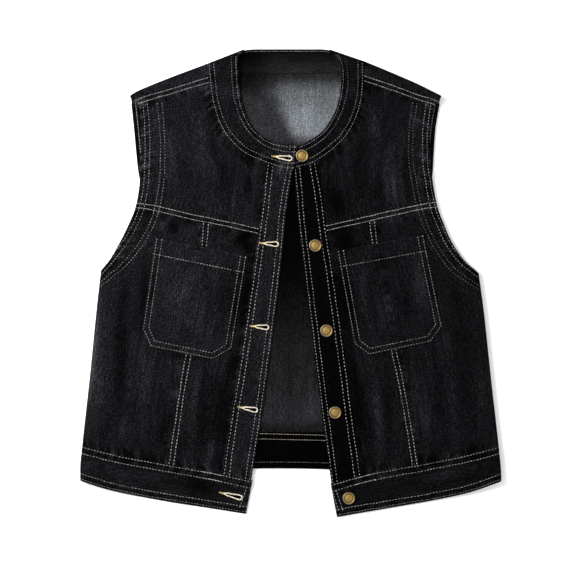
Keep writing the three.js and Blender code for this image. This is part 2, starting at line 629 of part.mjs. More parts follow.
// The facing that shows inside each back armhole
const facingRun = { from: 0.03, to: 0.9, steps: 14, inset: 0.6 }; // parts of the armhole's length
const facing = (front) => {
  const { from, to, steps, inset } = facingRun;
  const edge = along(curves.get(front).backArmhole, from, to, steps);
  const grid = [0, facingWidth].map((width) => edge.map((p, k) => {
    const way = edge[Math.min(k + 1, steps)].clone().sub(edge[Math.max(k - 1, 0)]).normalize();
    const inward = new THREE.Vector3(-way.y, way.x, 0).multiplyScalar(-front.side);
    return p.clone().addScaledVector(inward, inset + width);
  }));
  const floorOf = denim + seamGap;
  return wallMesh(`armhole_facing_${sideName(front)}`, bandDenim,
    lifted(grid, () => floorOf + facingWall), lifted(grid, () => floorOf));
};

// The neckband runs from the centre over one shoulder, round the back and over the other
const neckCross = 3;
const overlapLift = folded + restGap; // the right end lies over the left one
const lapRun = [10, 40]; // from the right end, over which it comes down off the left one
const neckSide = (front) => {
  const c = curves.get(front);
  const at = corner(front);
  const stops = join(
    front === LEFT ? spread(neckSteps.underlap).map((f) => at.neckAtCentre * f) : [],
    spread(neckSteps.placket).map((f) => at.neckAtCentre
      + (at.neckAtPlacket - at.neckAtCentre) * f),
    spread(neckSteps.yoke).map((f) => at.neckAtPlacket
      + (at.neckAtSeam - at.neckAtPlacket) * f),
    spread(neckSteps.flap).map((f) => at.neckAtSeam + (1 - at.neckAtSeam) * f));
  return stops.map((f) => ({
    outer: c.neckOuter.getPointAt(f), inner: c.neckInner.getPointAt(f) }));
};
const acrossBand = (from, to) => { // cut back where the panels are sewn on
  const points = spread(neckCross).map((f) => from.clone().lerp(to, f));
  points[0].add(to.clone().sub(from).setLength(seamGap));
  return points;
};
const neckband = () => {
  const stations = { outer: [], inner: [] };
  const rung = (from, to, place) => {
    const pairs = acrossBand(from, to).map(place);
    stations.outer.push(pairs.map((pair) => pair.outer));
    stations.inner.push(pairs.map((pair) => pair.inner));
  };
  const onTop = (lift) => (p) => {
    const base = under(p.x, p.y) + lift;
    return { outer: p.clone().setZ(base + folded), inner: p.clone().setZ(base) };
  };
  const onFloor = (p) => ({ outer: p.clone().setZ(0), inner: p.clone().setZ(folded) });
  const side = FRONTS.map((front) => neckSide(front));
  const foldOf = (k) => {
    const { outer, inner } = side[k].at(-1);
    const outward = foldFrame(FRONTS[k], outer, inner);
    return { outer, inner, outward };
  };
  const rings = (k) => {
    const { outer, inner, outward } = foldOf(k);
    const points = acrossBand(outer, inner).map((p) => overFold(p, outward, folded));
    return spread(foldSteps).map((_, step) => points.map((ring) => ring[step]));
  };
  const walkFront = (k) => side[k].slice(0, -1).map(({ outer, inner }) => {
    const gap = Math.abs(outer.x - side[0][0].outer.x);
    const lift = k === 0 ? overlapLift * (1 - smoothStep(...lapRun, gap)) : 0;
    return () => rung(outer, inner, onTop(lift));
  });
  const addRing = (ring) => {
    stations.outer.push(ring.map((pair) => pair.outer));
    stations.inner.push(ring.map((pair) => pair.inner));
  };
  walkFront(0).forEach((add) => add());
  rings(0).reverse().forEach(addRing);
  spread(neckSteps.back).slice(1, -1).forEach((f) => rung(
    backNeck.seam.getPointAt(f), backNeck.edge.getPointAt(f), onFloor));
  rings(1).forEach(addRing);
  walkFront(1).reverse().forEach((add) => add());
  return wallMesh("neckband", bandDenim, stations.outer, stations.inner);
};

// A tack button: a rimmed, domed cap on a short shank
const buttonSides = 16;
const tackButton = ({ x, y, wall }, number) => {
  const reach = [-button.shank, 0, button.shank];
  const bed = Math.max(...reach.flatMap((dx) => reach.map((dy) => under(x + dx, y + dy) + wall)));
  const { radius, rim, dome, shank, lift, edge } = button;
  const { top, valley, domeFoot, valleyDepth } = rimRing;
  const profile = [ // radius, height
    [0, 0], [shank, 0], [shank, lift], [radius - edge, lift], [radius, lift + edge],
    [top, lift + rim], [valley, lift + rim - valleyDepth], [domeFoot, lift + rim],
    [0, lift + dome]].map(([r, z]) => new THREE.Vector2(r, z));
  const geometry = new THREE.LatheGeometry(profile, buttonSides);
  geometry.rotateX(Math.PI / 2);
  const mesh = new THREE.Mesh(geometry, brass);
  mesh.name = `button_${number}`;
  mesh.position.set(x, y, bed + seamGap);
  return mesh;
};

const vest = new THREE.Group();
vest.add(backPanel(), backWaistband());
for (const front of FRONTS) {
  vest.add(sidePanel(front), centrePanel(front), yoke(front), placket(front), waistband(front));
  vest.add(pocket(front), facing(front));
}
vest.add(neckband());
BUTTONS.forEach((place, k) => vest.add(tackButton(place, k + 1)));

export default vest;
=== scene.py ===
import math

import bpy
import numpy as np
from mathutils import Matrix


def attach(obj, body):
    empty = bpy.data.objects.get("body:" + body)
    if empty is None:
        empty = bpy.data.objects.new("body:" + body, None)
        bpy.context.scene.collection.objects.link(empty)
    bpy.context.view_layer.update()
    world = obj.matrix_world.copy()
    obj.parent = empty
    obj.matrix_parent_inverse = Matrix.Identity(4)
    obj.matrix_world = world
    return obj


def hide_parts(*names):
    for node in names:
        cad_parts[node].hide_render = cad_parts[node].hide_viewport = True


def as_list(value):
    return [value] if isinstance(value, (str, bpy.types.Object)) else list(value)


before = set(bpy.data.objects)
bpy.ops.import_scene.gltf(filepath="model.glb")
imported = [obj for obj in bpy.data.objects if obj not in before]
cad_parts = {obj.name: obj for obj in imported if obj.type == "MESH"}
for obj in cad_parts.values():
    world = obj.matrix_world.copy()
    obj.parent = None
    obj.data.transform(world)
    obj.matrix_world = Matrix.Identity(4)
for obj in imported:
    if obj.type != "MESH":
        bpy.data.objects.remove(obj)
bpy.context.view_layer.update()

# %% [markdown]
# ## Sizes
# All sizes are in millimetres, as a cutter works, and turn to metres only where a mesh is made. They
# repeat the solids' own sizes: one denim layer, doubled bands, and the air that stays inside a fold.
# %% Cloth, seam and fold sizes
MM = 0.001
DENIM = 1.2
FOLDED = 2.4
PLACKET_WALL = 2.2
FACING_WALL = 1.0
POCKET_WALL = 1.4
SEAM_GAP = 0.3
REST_GAP = 0.5
SEAM_WIDTH = 10
SEAM_RISE = 0.8
RAMP = 2.0
SIDE_AIR = 5.6
FACING_WIDTH = 14
NEAR_ROW = 2.2
FAR_ROW = 8.0

# %% [markdown]
# ## Outlines
# A flat-laid garment is a drawing of seams, so each front is a table of its seam lines, read from the
# shoulder or the side inwards. The two fronts differ a little, as cloth never lies the same twice.
# %% The right and left front, seen from above: x < 0 is the wearer's right
RIGHT = {
    "side": -1,
    "shoulder_fold": [(-108.5, 285), (-159.6, 265.8), (-201.2, 248.4), (-209, 243.3)],
    "shoulder_seam": [(-106, 258.5), (-131, 251.2), (-157, 243), (-183, 235.6), (-196, 230.7)],
    "front_armhole": [
        (-196, 230.7), (-194.4, 205), (-194.6, 184), (-195.6, 155), (-197, 124), (-202.5, 96),
        (-210.3, 77), (-220.4, 56), (-233, 35.3), (-246.5, 17.1)],
    "back_armhole": [
        (-208.6, 240), (-204.6, 202), (-199.6, 150), (-196, 124), (-201.5, 96), (-209.3, 77),
        (-219.4, 56), (-232, 35.3), (-241.7, 21)],
    "side_fold": [
        (-246.5, 17.1), (-252.6, -37.5), (-260.9, -120.7), (-270.8, -210.4), (-273.4, -237.7),
        (-273.3, -256.6)],
    "yoke_seam": [(-202.5, 96), (-183, 93.4), (-131, 81.5), (-85.5, 72.1), (-43, 62.4)],
    "panel_seam": [
        (-162.2, -234.6), (-153.7, -178), (-145.9, -126), (-136.9, -74), (-118.4, 56), (-117, 78.6)],
    "placket_inner": [
        (-89.7, -247), (-81.6, -191), (-64.7, -87), (-52.1, -2.4), (-43, 62.4), (-38.5, 95), (-32, 153)],
    "centre_edge": [
        (-51.2, -255.9), (-40.8, -191), (-26.3, -87), (-12.1, 30), (-5.7, 95), (2.6, 146.2)],
    "waist_top": [(-270.8, -210.4), (-228.5, -221.4), (-170, -232.8), (-105, -244.2), (-49.6, -256.3)],
    "hem": [
        (-273.3, -256.6), (-235, -268.6), (-193.4, -277.7), (-151.8, -285.2), (-110.2, -291.6),
        (-58.2, -299.8)],
    "neck_outer": [
        (4.2, 147.2), (-8.3, 148), (-37.8, 157), (-64.4, 170.5), (-86.5, 194), (-101, 227.7),
        (-106, 258.5), (-108.5, 285)],
    "neck_inner": [
        (7.6, 178.8), (-8.3, 179.4), (-29, 186.1), (-45.2, 198), (-57, 216), (-66, 246), (-68.3, 275),
        (-68, 294), (-60.8, 303.6)],
    "pocket": [
        (-175.9, 58.7), (-193.4, -59.6), (-183, -82.4), (-101.1, -99.3), (-77.1, -85), (-57.6, 34.6)],
}
LEFT = {
    "side": 1,
    "shoulder_fold": [(95.4, 288), (121.2, 277.5), (162.8, 259.5), (188.6, 246.8), (195.7, 243.3)],
    "shoulder_seam": [(95.5, 260.2), (103, 257.7), (129, 249.1), (155, 239.4), (184.8, 229.4)],
    "front_armhole": [
        (184.8, 229.4), (181.6, 205), (181, 181), (181.7, 160), (185.2, 126.3), (191.2, 97),
        (198.6, 77), (207.6, 56.1), (220.3, 36.5), (244.1, 13.2)],
    "back_armhole": [
        (195.4, 240), (188.8, 201.7), (185.4, 150), (184.4, 126.3), (190.2, 97), (197.6, 77),
        (206.6, 56.1), (219.3, 36.5), (238.9, 18)],
    "side_fold": [
        (244.1, 13.2), (250.8, -37.5), (259.7, -120.7), (269.8, -210.4), (273.2, -245.5), (273.5, -257)],
    "yoke_seam": [(191.2, 97), (178.4, 95.5), (129, 85), (77, 73.1), (46.8, 66.2)],
    "panel_seam": [
        (166, -234.4), (156.9, -178), (147.6, -126), (136.1, -74), (113.1, 60), (110.8, 80.7)],
    "placket_inner": [
        (91.3, -248.8), (83.1, -191), (69.4, -87), (54.9, 17), (46.8, 66.2), (41.5, 108), (34.1, 152.6)],
    "centre_edge": [(52.6, -259.6), (43.2, -191), (29.9, -87), (17.4, 17), (10.1, 75.6), (4.2, 146)],
    "waist_top": [(269.8, -210.4), (233, -220.8), (168, -234), (103, -246.4), (51.6, -260.6)],
    "hem": [(273.5, -257), (233, -271.5), (191.4, -281), (149.8, -288.5), (108.2, -295.6), (59.8, -304)],
    "neck_outer": [
        (-4, 149.6), (4, 148.2), (29.9, 155.4), (50.6, 168.7), (72.7, 189.3), (87.4, 216), (94.4, 245),
        (95.5, 260.2), (95.4, 288)],
    "neck_inner": [
        (-5, 176.6), (9.4, 178), (21.1, 183.5), (38.7, 195.2), (52.3, 213), (61, 233.5), (65.3, 258),
        (65.3, 272), (62.4, 288), (50.4, 303.4)],
    "pocket": [
        (172.5, 62.6), (196.6, -55.7), (181.9, -76.5), (101.3, -93.4), (82.2, -79.1), (60.1, 41.8)],
}
BACK_BAND = {
    "top": [(-266, -212), (-183, -205.2), (-60, -194.2), (0, -193.6), (60, -194.4), (183, -205.2),
            (265.4, -212)],
    "hem": [(-268, -256), (-183, -248.4), (-60, -241.4), (0, -240.8), (60, -242.4), (183, -249.4),
            (268.2, -256)],
}
BACK_NECK = {
    "edge": [(-60.4, 302.6), (-50, 303.8), (-25, 304), (20, 304), (43, 303.8), (50.2, 302.6)],
    "seam": [(-106.6, 280.8), (-75, 274.5), (-30, 272), (20, 272), (65, 275), (93.6, 284)],
}
SIDE_NAME = {-1: "right", 1: "left"}

# %% [markdown]
# ## Curves
# A seam is drawn as a smooth curve through its table. A centripetal Catmull-Rom curve passes every
# point and never loops between close ones, and a dense run of points on it can be measured like a tape.
# %% Curves, measured along their length
def smooth(rows, steps=24):
    """A centripetal Catmull-Rom curve through a table's points, as a dense run."""
    p = np.array(rows, float)
    p = np.vstack([2 * p[0] - p[1], p, 2 * p[-1] - p[-2]])
    f = np.linspace(0, 1, steps, endpoint=False)[:, None]
    run = []
    for a, b, c, d in zip(p, p[1:], p[2:], p[3:]):
        before, here, after = (np.linalg.norm(q - r) ** 0.5 for q, r in ((b, a), (c, b), (d, c)))
        leave = ((b - a) / before - (c - a) / (before + here) + (c - b) / here) * here
        arrive = ((c - b) / here - (d - b) / (here + after) + (d - c) / after) * here
        run.append(b + leave * f + (3 * (c - b) - 2 * leave - arrive) * f**2
                   + (2 * (b - c) + leave + arrive) * f**3)
    return np.vstack([*run, p[-2]])


def tape(run):
    """The length along a run at each of its points."""
    return np.concatenate([[0.0], np.cumsum(np.linalg.norm(np.diff(run, axis=0), axis=-1))])


def at(run, share):
    """Points at shares (0 to 1) of a run's length."""
    along = tape(run)
    return np.stack(
        [np.interp(np.asarray(share) * along[-1], along, run[:, k]) for k in range(run.shape[1])], axis=-1)


def unit(way):
    """Ways of any length, made one long."""
    return way / np.maximum(np.linalg.norm(way, axis=-1, keepdims=True), 1e-9)


def left_of(way):
    """Plane ways turned a quarter to the left."""
    return np.stack([-way[..., 1], way[..., 0]], axis=-1)


def stretch(run, start, end):
    """A side of a piece: the part of a run between two shares, as a function of 0 to 1."""
    return lambda share: at(run, start + (end - start) * np.asarray(share))


def chain(sides, breaks):
    """Several stretches one after another, each taking the shares between two breaks."""
    def side(share):
        share = np.asarray(share, float)
        points = np.zeros(share.shape + (2,))
        for piece, low, high in zip(sides, breaks, breaks[1:]):
            here = (share >= low) & (share <= high)
            points[here] = piece((share[here] - low) / (high - low))
        return points
    return side


def nearest(run, point):
    """The share of a run that lies nearest to a point."""
    shares = np.linspace(0, 1, 401)
    return shares[np.linalg.norm(at(run, shares) - point, axis=1).argmin()]


def gap_to(run, x, y):
    """How far points lie from a run, and how far along it the foot is."""
    px, py = (np.ravel(values).astype(float) for values in (x, y))
    best, foot = np.full(px.shape, 1e18), np.zeros(px.shape)
    start = 0.0
    for (ax, ay), (bx, by) in zip(run, run[1:]):
        wx, wy = bx - ax, by - ay
        size = max(wx * wx + wy * wy, 1e-9)
        f = np.clip(((px - ax) * wx + (py - ay) * wy) / size, 0, 1)
        square = (px - ax - f * wx) ** 2 + (py - ay - f * wy) ** 2
        nearer = square < best
        best = np.where(nearer, square, best)
        foot = np.where(nearer, start + f * size**0.5, foot)
        start += size**0.5
    return np.sqrt(best).reshape(np.shape(x)), foot.reshape(np.shape(x))


def tabled(function, step=1.0):
    """The same function of a place, read from a table of its values a step apart."""
    xs, ys = np.arange(-290, 291, step), np.arange(-320, 321, step)
    table = function(*np.meshgrid(xs, ys, indexing="ij"))

    def read(x, y):
        across = np.clip((np.asarray(x) - xs[0]) / step, 0, len(xs) - 1.001)
        along = np.clip((np.asarray(y) - ys[0]) / step, 0, len(ys) - 1.001)
        k, j = across.astype(int), along.astype(int)
        f, g = across - k, along - j
        low = table[k, j] * (1 - f) + table[k + 1, j] * f
        return low * (1 - g) + (table[k, j + 1] * (1 - f) + table[k + 1, j + 1] * f) * g
    return read


def ease(low, high, value):
    """0 below low, 1 above high, and a soft step between."""
    t = np.clip((np.asarray(value, float) - low) / (high - low), 0, 1)
    return t * t * (3 - 2 * t)


MEETS = [
    ("yoke_at_panel", "yoke_seam", "panel_seam", -1), ("waist_at_panel", "waist_top", "panel_seam", 0),
    ("waist_at_placket", "waist_top", "placket_inner", 0),
    ("waist_at_centre", "waist_top", "centre_edge", 0),
    ("placket_at_yoke", "placket_inner", "yoke_seam", -1),
    ("armhole_at_yoke", "front_armhole", "yoke_seam", 0), ("fold_at_waist", "side_fold", "waist_top", 0),
    ("neck_at_centre", "neck_outer", "centre_edge", -1),
    ("neck_at_placket", "neck_outer", "placket_inner", -1),
    ("neck_at_seam", "neck_outer", "shoulder_seam", 0),
]  # name of the share, the curve that it is on, the curve that meets it there, and that one's end


def drawn(front):
    """A front's curves, and the shares at which they meet."""
    curves = {key: smooth(rows) for key, rows in front.items() if key not in ("side", "pocket")}
    meet = {share: nearest(curves[key], front[other][end]) for share, key, other, end in MEETS}
    return {**curves, **meet, "side": front["side"], "name": SIDE_NAME[front["side"]],
            "pocket": np.array(front["pocket"], float)}


def cut(front, key, start, end):
    """A stretch of a front's curve between two shares, each a number or the name of a meeting."""
    start, end = (front[share] if isinstance(share, str) else share for share in (start, end))
    return stretch(front[key], start, end)


def off(front, key, x, y, skip=3):
    """How far points lie from one of a front's seams."""
    return gap_to(front[key][::skip], x, y)[0]


FRONTS = [drawn(RIGHT), drawn(LEFT)]
band_top, band_hem = smooth(BACK_BAND["top"]), smooth(BACK_BAND["hem"])
neck_edge, neck_seam = smooth(BACK_NECK["edge"]), smooth(BACK_NECK["seam"])
for front in FRONTS:
    print(front["name"], "armhole", round(tape(front["front_armhole"])[-1]), "mm, hem",
          round(tape(front["hem"])[-1]), "mm")

# %% [markdown]
# ## How the fronts lie
# The fronts lie on the back, its waistband and the armhole facings, and swell towards the side and
# shoulder folds, where two layers turn round a little air. Large soft ridges repeat those of the
# solids. Finer creases and the puckers that a twin needle leaves along each seam are added here, the
# same for every piece that meets there, so that stitches and pockets follow them too.
# %% Soft ridges (in the solids too), then finer creases: both ends, half width, height
RIDGES = [
    ((-176, 205), (-168, 118), 11, 1.3), ((-128, 225), (-118, 120), 14, 1.0),
    ((-72, 150), (-66, 88), 10, 0.9), ((-228, -20), (-236, -190), 15, 1.5),
    ((-182, -100), (-196, -214), 12, 1.3), ((-122, -110), (-128, -224), 11, 1.2),
    ((-96, -118), (-104, -232), 8, 1.0), ((124, 190), (132, 112), 12, 1.4),
    ((84, 196), (70, 110), 13, 1.0), ((160, 215), (158, 130), 9, 1.1),
    ((112, -112), (122, -226), 12, 1.4), ((178, -96), (192, -214), 13, 1.3),
    ((226, -10), (238, -196), 16, 1.6), ((92, -140), (104, -236), 7, 0.9),
]
CREASES = [
    ((-160, 215), (-154, 150), 5, 0.45), ((-143, 190), (-139, 118), 4, -0.35),
    ((-104, 178), (-96, 112), 5, 0.4), ((-84, 168), (-82, 120), 4, -0.3),
    ((-188, 178), (-184, 120), 4, 0.35), ((-214, 20), (-222, -70), 6, -0.4),
    ((-206, -90), (-214, -180), 6, 0.5), ((-172, -150), (-176, -222), 5, -0.45),
    ((-148, -180), (-150, -228), 4, 0.4), ((-112, -160), (-116, -232), 4, -0.4),
    ((-246, -110), (-252, -196), 5, 0.4), ((108, 172), (104, 108), 5, 0.45),
    ((146, 190), (150, 126), 5, -0.4), ((68, 150), (62, 96), 4, 0.35),
    ((170, 188), (172, 130), 4, 0.35), ((102, -150), (108, -234), 4, -0.4),
    ((134, -158), (138, -228), 5, 0.4), ((164, -140), (172, -222), 5, -0.4),
    ((206, -100), (214, -206), 6, 0.5), ((214, 10), (220, -60), 6, -0.4),
    ((244, -110), (250, -196), 5, 0.4), ((89, -190), (103, -244), 1.8, 0.8),
    ((84, -186), (97, -243), 3, -0.5), ((-30, 214), (-44, 190), 4, 0.3),
]
PUCKERS = [
    ("waist_top", 9, 0.42, 9, 0.11), ("hem", 10, 0.34, 7, 0.13), ("yoke_seam", 12, 0.32, 8, 0.06),
    ("panel_seam", 8, 0.22, 6, 0.03), ("placket_inner", 9, 0.24, 6, 0.08),
    ("front_armhole", 8, 0.34, 15, 0.03), ("neck_outer", 8, 0.5, 9, 0.09),
    ("neck_inner", 7, 0.4, 7, 0.06), ("shoulder_seam", 10, 0.28, 6, 0.03),
    ("centre_edge", 10, 0.18, 5, 0.04),
]  # seam, pitch along it, height, reach to each side, how much painted shade darkens its hollow
BAND_STEP, DROP_START, DROP_LENGTH = 24, 8, 26
SIDE_REACH, SHOULDER_REACH, EASE_POWER = 34, 28, 1.3
LEAST_HEIGHT = 0.25
SLANT = 0.5
CREST_TONE = 0.75
for front in FRONTS:
    front["fold_run"] = at(front["side_fold"], np.linspace(0, 1, 13))
    front["shoulder_run"] = np.vstack(
        [front["neck_inner"][-1], at(front["shoulder_fold"], np.linspace(0, 1, 9))])
    front["facing_run"] = at(front["back_armhole"], np.linspace(0, 1, 17))
top_run, hem_run = (at(run, np.linspace(0, 1, 33)) for run in (band_top, band_hem))


# %% The height of the fronts' underside
def ground(x, y):
    """What the fronts lie on: the back, its waistband and facings, and the floor past its hem."""
    on_band = ease(0, BAND_STEP, np.interp(x, top_run[:, 0], top_run[:, 1]) + BAND_STEP - y)
    past_hem = ease(
        DROP_START, DROP_START + DROP_LENGTH, np.interp(x, hem_run[:, 0], hem_run[:, 1]) - y)
    facing = np.minimum(*(gap_to(front["facing_run"], x, y)[0] for front in FRONTS))
    on_facing = 1 - ease(FACING_WIDTH + 1, FACING_WIDTH + 7, facing)
    return (DENIM + (FOLDED - DENIM) * on_band + (FACING_WALL + SEAM_GAP) * on_facing) * (1 - past_hem)


def ridges(table, x, y):
    """The sum of a table's soft ridges and troughs."""
    total = np.zeros(np.shape(x))
    for start, end, width, height in table:
        run = np.array([start, end], float)
        gap, foot = gap_to(run, x, y)
        share = np.clip(foot / tape(run)[-1], 0.08, 0.92)
        total = total + height * np.sin(math.pi * share) * np.exp(-((gap / width) ** 2))
    return total


def uneven(along, pitch, seed):
    """Uneven waves along a seam, between -1 and 1, about one to each pitch."""
    knots = np.random.default_rng(seed).uniform(-1, 1, 600)
    t = np.asarray(along) / (0.5 * pitch) + 40
    k = np.floor(t).astype(int)
    f = ease(0, 1, t - k)
    return knots[k] * (1 - f) + knots[k + 1] * f


def puckers(x, y, in_tone=False):
    """What the needle draws up along each seam, a little aslant, as height or as tone with painted shade in
    hollows.
    """
    total = np.zeros(np.shape(x))
    for front in FRONTS:
        mine = np.sign(x) == front["side"]
        if not mine.any():
            continue
        for seed, (seam, pitch, height, width, dark) in enumerate(PUCKERS):
            run = at(front[seam], np.linspace(0, 1, 41))
            gap, foot = gap_to(run, x[mine], y[mine])
            wave = height * uneven(foot + SLANT * gap, pitch, 10 * seed + front["side"] + 1)
            # dark: painted shade in the seam's hollow
            rise = CREST_TONE * wave - dark if in_tone else wave
            total[mine] += rise * np.exp(-((gap / width) ** 2))
    return total


def fold_radius(wall):
    """The radius of a fold's outer face."""
    return (DENIM + SIDE_AIR + wall) / 2


def lie(x, y):
    """The height of the fronts' underside above the floor."""
    rest = ground(x, y) + REST_GAP
    held = np.zeros(x.shape)
    for front in FRONTS:
        for run, far in ((front["fold_run"], SIDE_REACH), (front["shoulder_run"], SHOULDER_REACH)):
            gap = np.maximum(0, gap_to(run, x, y)[0] - fold_radius(DENIM))
            held = np.maximum(held, np.exp(-((gap / far) ** EASE_POWER)))
    lift = ridges(RIDGES, x, y) + ridges(CREASES, x, y)
    height = rest + (DENIM + SIDE_AIR - rest) * held + lift * (1 - held) + puckers(x, y)
    return np.maximum(height, LEAST_HEIGHT)


drape = tabled(lie)
print("underside at the chest and over the waistband, mm:",
      drape(np.array([-120.0, -150.0]), np.array([20.0, -250.0])).round(2))

# %% [markdown]
# ## The wash, with painted light and shade
# Stone washing leaves this denim near black with paler streaks down the warp, paler edges and puckers
# rubbed paler on their crests. Painted shade darkens the seams' hollows, the creases' troughs and dark
# streaks beside the plackets, under the yokes and along the pockets; painted light brightens the crests
# of the creases and ridges, and the wearer's right half is painted paler than the left. Broad streaks
# are listed one by one, as they lie on the cloth, and go into an attribute that the shader reads.
# %% Broad streaks, of wash and painted shade: both ends, half width, tone (paler above 0)
WASH_AND_SHADE = [
    ((-250, 0), (-263, -185), 10, 0.2), ((-216, 0), (-226, -170), 9, -0.15),
    ((-188, -50), (-194, -180), 8, 0.07), ((-160, -160), (-165, -225), 9, -0.13),
    ((-216, -168), (-220, -205), 4, 0.14), ((-240, -180), (-246, -212), 6, -0.08),
    ((-119, -100), (-128, -190), 4, 0.12), ((-78, -100), (-97, -236), 15, -0.16),
    ((-100, -197), (-106, -236), 4, 0.16), ((-140, -190), (-146, -230), 5, -0.1),
    ((-156, 80), (-150, 62), 6, -0.2), ((-168, 84), (-166, 66), 5, 0.1),
    ((-72, 66), (-54, 52), 12, -0.24), ((-128, 76), (-112, 66), 8, 0.07),
    ((-186, 36), (-196, -60), 6, -0.13), ((-50, 34), (-70, -75), 9, -0.2),
    ((-150, 10), (-138, -55), 20, 0.07), ((-110, 20), (-102, -60), 5, -0.05),
    ((-158, 195), (-150, 108), 8, 0.06), ((-92, 172), (-78, 92), 14, -0.1),
    ((-118, 218), (-112, 150), 6, 0.05), ((-76, 128), (-74, 86), 3, 0.08),
    ((-136, 160), (-130, 110), 7, -0.04), ((-176, 225), (-172, 180), 6, 0.05),
    ((-190, 215), (-190, 110), 7, 0.05), ((-58, 150), (-54, 100), 6, -0.12),
    ((122, 162), (127, 92), 3, 0.13), ((131, 154), (138, 88), 4, 0.17),
    ((141, 150), (148, 90), 3, 0.1), ((128, 182), (126, 150), 4, 0.08),
    ((136, 168), (140, 120), 9, 0.05), ((92, 195), (87, 95), 14, -0.09),
    ((54, 132), (62, 80), 12, -0.22), ((106, 226), (112, 175), 8, 0.1),
    ((158, 222), (166, 196), 9, 0.1), ((150, 180), (154, 112), 7, -0.05),
    ((170, 190), (172, 120), 6, 0.06), ((58, 60), (82, 46), 12, -0.28),
    ((126, 84), (160, 88), 8, 0.07), ((96, 70), (108, 72), 8, -0.1),
    ((164, 36), (172, -44), 9, 0.13), ((92, 22), (96, -34), 4, 0.12), ((74, 16), (84, -60), 8, -0.13),
    ((120, 10), (126, -60), 12, 0.05), ((148, 0), (152, -60), 7, -0.06),
    ((62, 30), (76, -80), 7, -0.2), ((76, -80), (99, -232), 9, -0.2),
    ((110, -120), (118, -226), 5, 0.1), ((124, -110), (130, -225), 6, -0.1),
    ((158, -112), (176, -216), 8, 0.11), ((186, -95), (198, -210), 8, -0.08),
    ((196, -10), (204, -110), 7, 0.07), ((222, -10), (236, -216), 13, -0.08),
    ((256, -20), (268, -205), 7, 0.08), ((210, 20), (232, 6), 8, 0.06),
    ((-142, -258), (-96, -270), 10, -0.17), ((-240, -244), (-200, -256), 9, 0.08),
    ((-262, -226), (-266, -246), 8, 0.1), ((-70, -276), (-58, -280), 8, 0.08),
    ((104, -254), (142, -250), 7, 0.1), ((180, -252), (230, -240), 8, 0.1),
    ((-196, -96), (-210, -236), 34, -0.06), ((-108, -100), (-120, -240), 20, -0.1),
    ((200, 10), (214, -120), 30, -0.04), ((120, 50), (128, -60), 34, -0.05),
    ((196, 190), (196, 130), 6, -0.05), ((120, 140), (104, 96), 7, -0.08), ((146, 210), (142, 140), 4, 0.08),
    ((-170, 150), (-166, 100), 5, -0.06), ((-104, 214), (-98, 150), 4, -0.06),
    ((-76, 184), (-60, 164), 8, 0.08), ((-20, 164), (0, 162), 12, 0.1), ((-88, 262), (-84, 232), 8, 0.08),
    ((76, 240), (82, 264), 8, 0.1), ((50, 196), (30, 176), 10, -0.06),
    ((-80, 30), (-90, -62), 9, -0.13), ((-58, 56), (-54, 36), 7, -0.22), ((-67, -82), (-80, -126), 6, -0.15),
    # Dark lines along the pocket edges: painted shade
    ((-171, 50), (-188, -56), 3, -0.1), ((-63, 30), (-81, -80), 3, -0.1),
    ((-188, -20), (-196, -104), 7, -0.06),
    ((168, 54), (191, -50), 3, -0.1), ((65, 36), (87, -74), 3, -0.1), ((-182, -88), (-104, -102), 4, -0.1),
]
# The wearer's right half is painted a little paler and the left darker: painted light and shade.
SIDE_PAINTED_SHADING = {-1: 0.05, 1: -0.03}
# The crease and ridge weights paint light on the crests and shade in the creases' troughs.
STREAK_TONE, CREASE_PAINTED_SHADING, RIDGE_PAINTED_LIGHT = 1.5, 0.16, 0.04


def washed_and_shaded(x, y):
    """Wash streaks and rubbed crests with painted light and shade: 0 is plain black, more is paler."""
    tone = np.where(x < 0, SIDE_PAINTED_SHADING[-1], SIDE_PAINTED_SHADING[1])
    # worn: the puckers' rubbed crests, painted shade in the seams' hollows, and the creases' painted light
    # and shade
    worn = puckers(x, y, in_tone=True) + CREASE_PAINTED_SHADING * ridges(CREASES, x, y)
    return tone + STREAK_TONE * ridges(WASH_AND_SHADE, x, y) + (worn + RIDGE_PAINTED_LIGHT * ridges(RIDGES, x, y))


wash_and_shade = tabled(washed_and_shaded)


# %% [markdown]
# ## From two grids to a shell
# Cloth has two faces and an edge, so each piece is a closed wall between an outer and an inner grid.
# Its edges are rounded, because a turned edge of denim is a soft roll. The wall carries a UV map in
# metres of cloth, warp along V, its tone, and how far each point is from the nearest worn edge.
# %% Shells
FAR_FROM_EDGE = 30.0
SHARP_TURN = 50


def put(name, data):
    """A new object in the scene."""
    thing = bpy.data.objects.new(name, data)
    bpy.context.scene.collection.objects.link(thing)
    return thing


def mesh_of(name, points, faces, materials, smooth=True):
    """A mesh from points in millimetres."""
    mesh = bpy.data.meshes.new(name)
    mesh.from_pydata((np.asarray(points) * MM).tolist(), [], faces)
    for material in materials:
        mesh.materials.append(material)
    mesh.polygons.foreach_set("use_smooth", np.full(len(faces), smooth))
    return mesh


def give(mesh, key, values):
    """Gives each point of a mesh a value that materials read by name."""
    mesh.attributes.new(key, "FLOAT", "POINT").data.foreach_set("value", values.astype(np.float32))


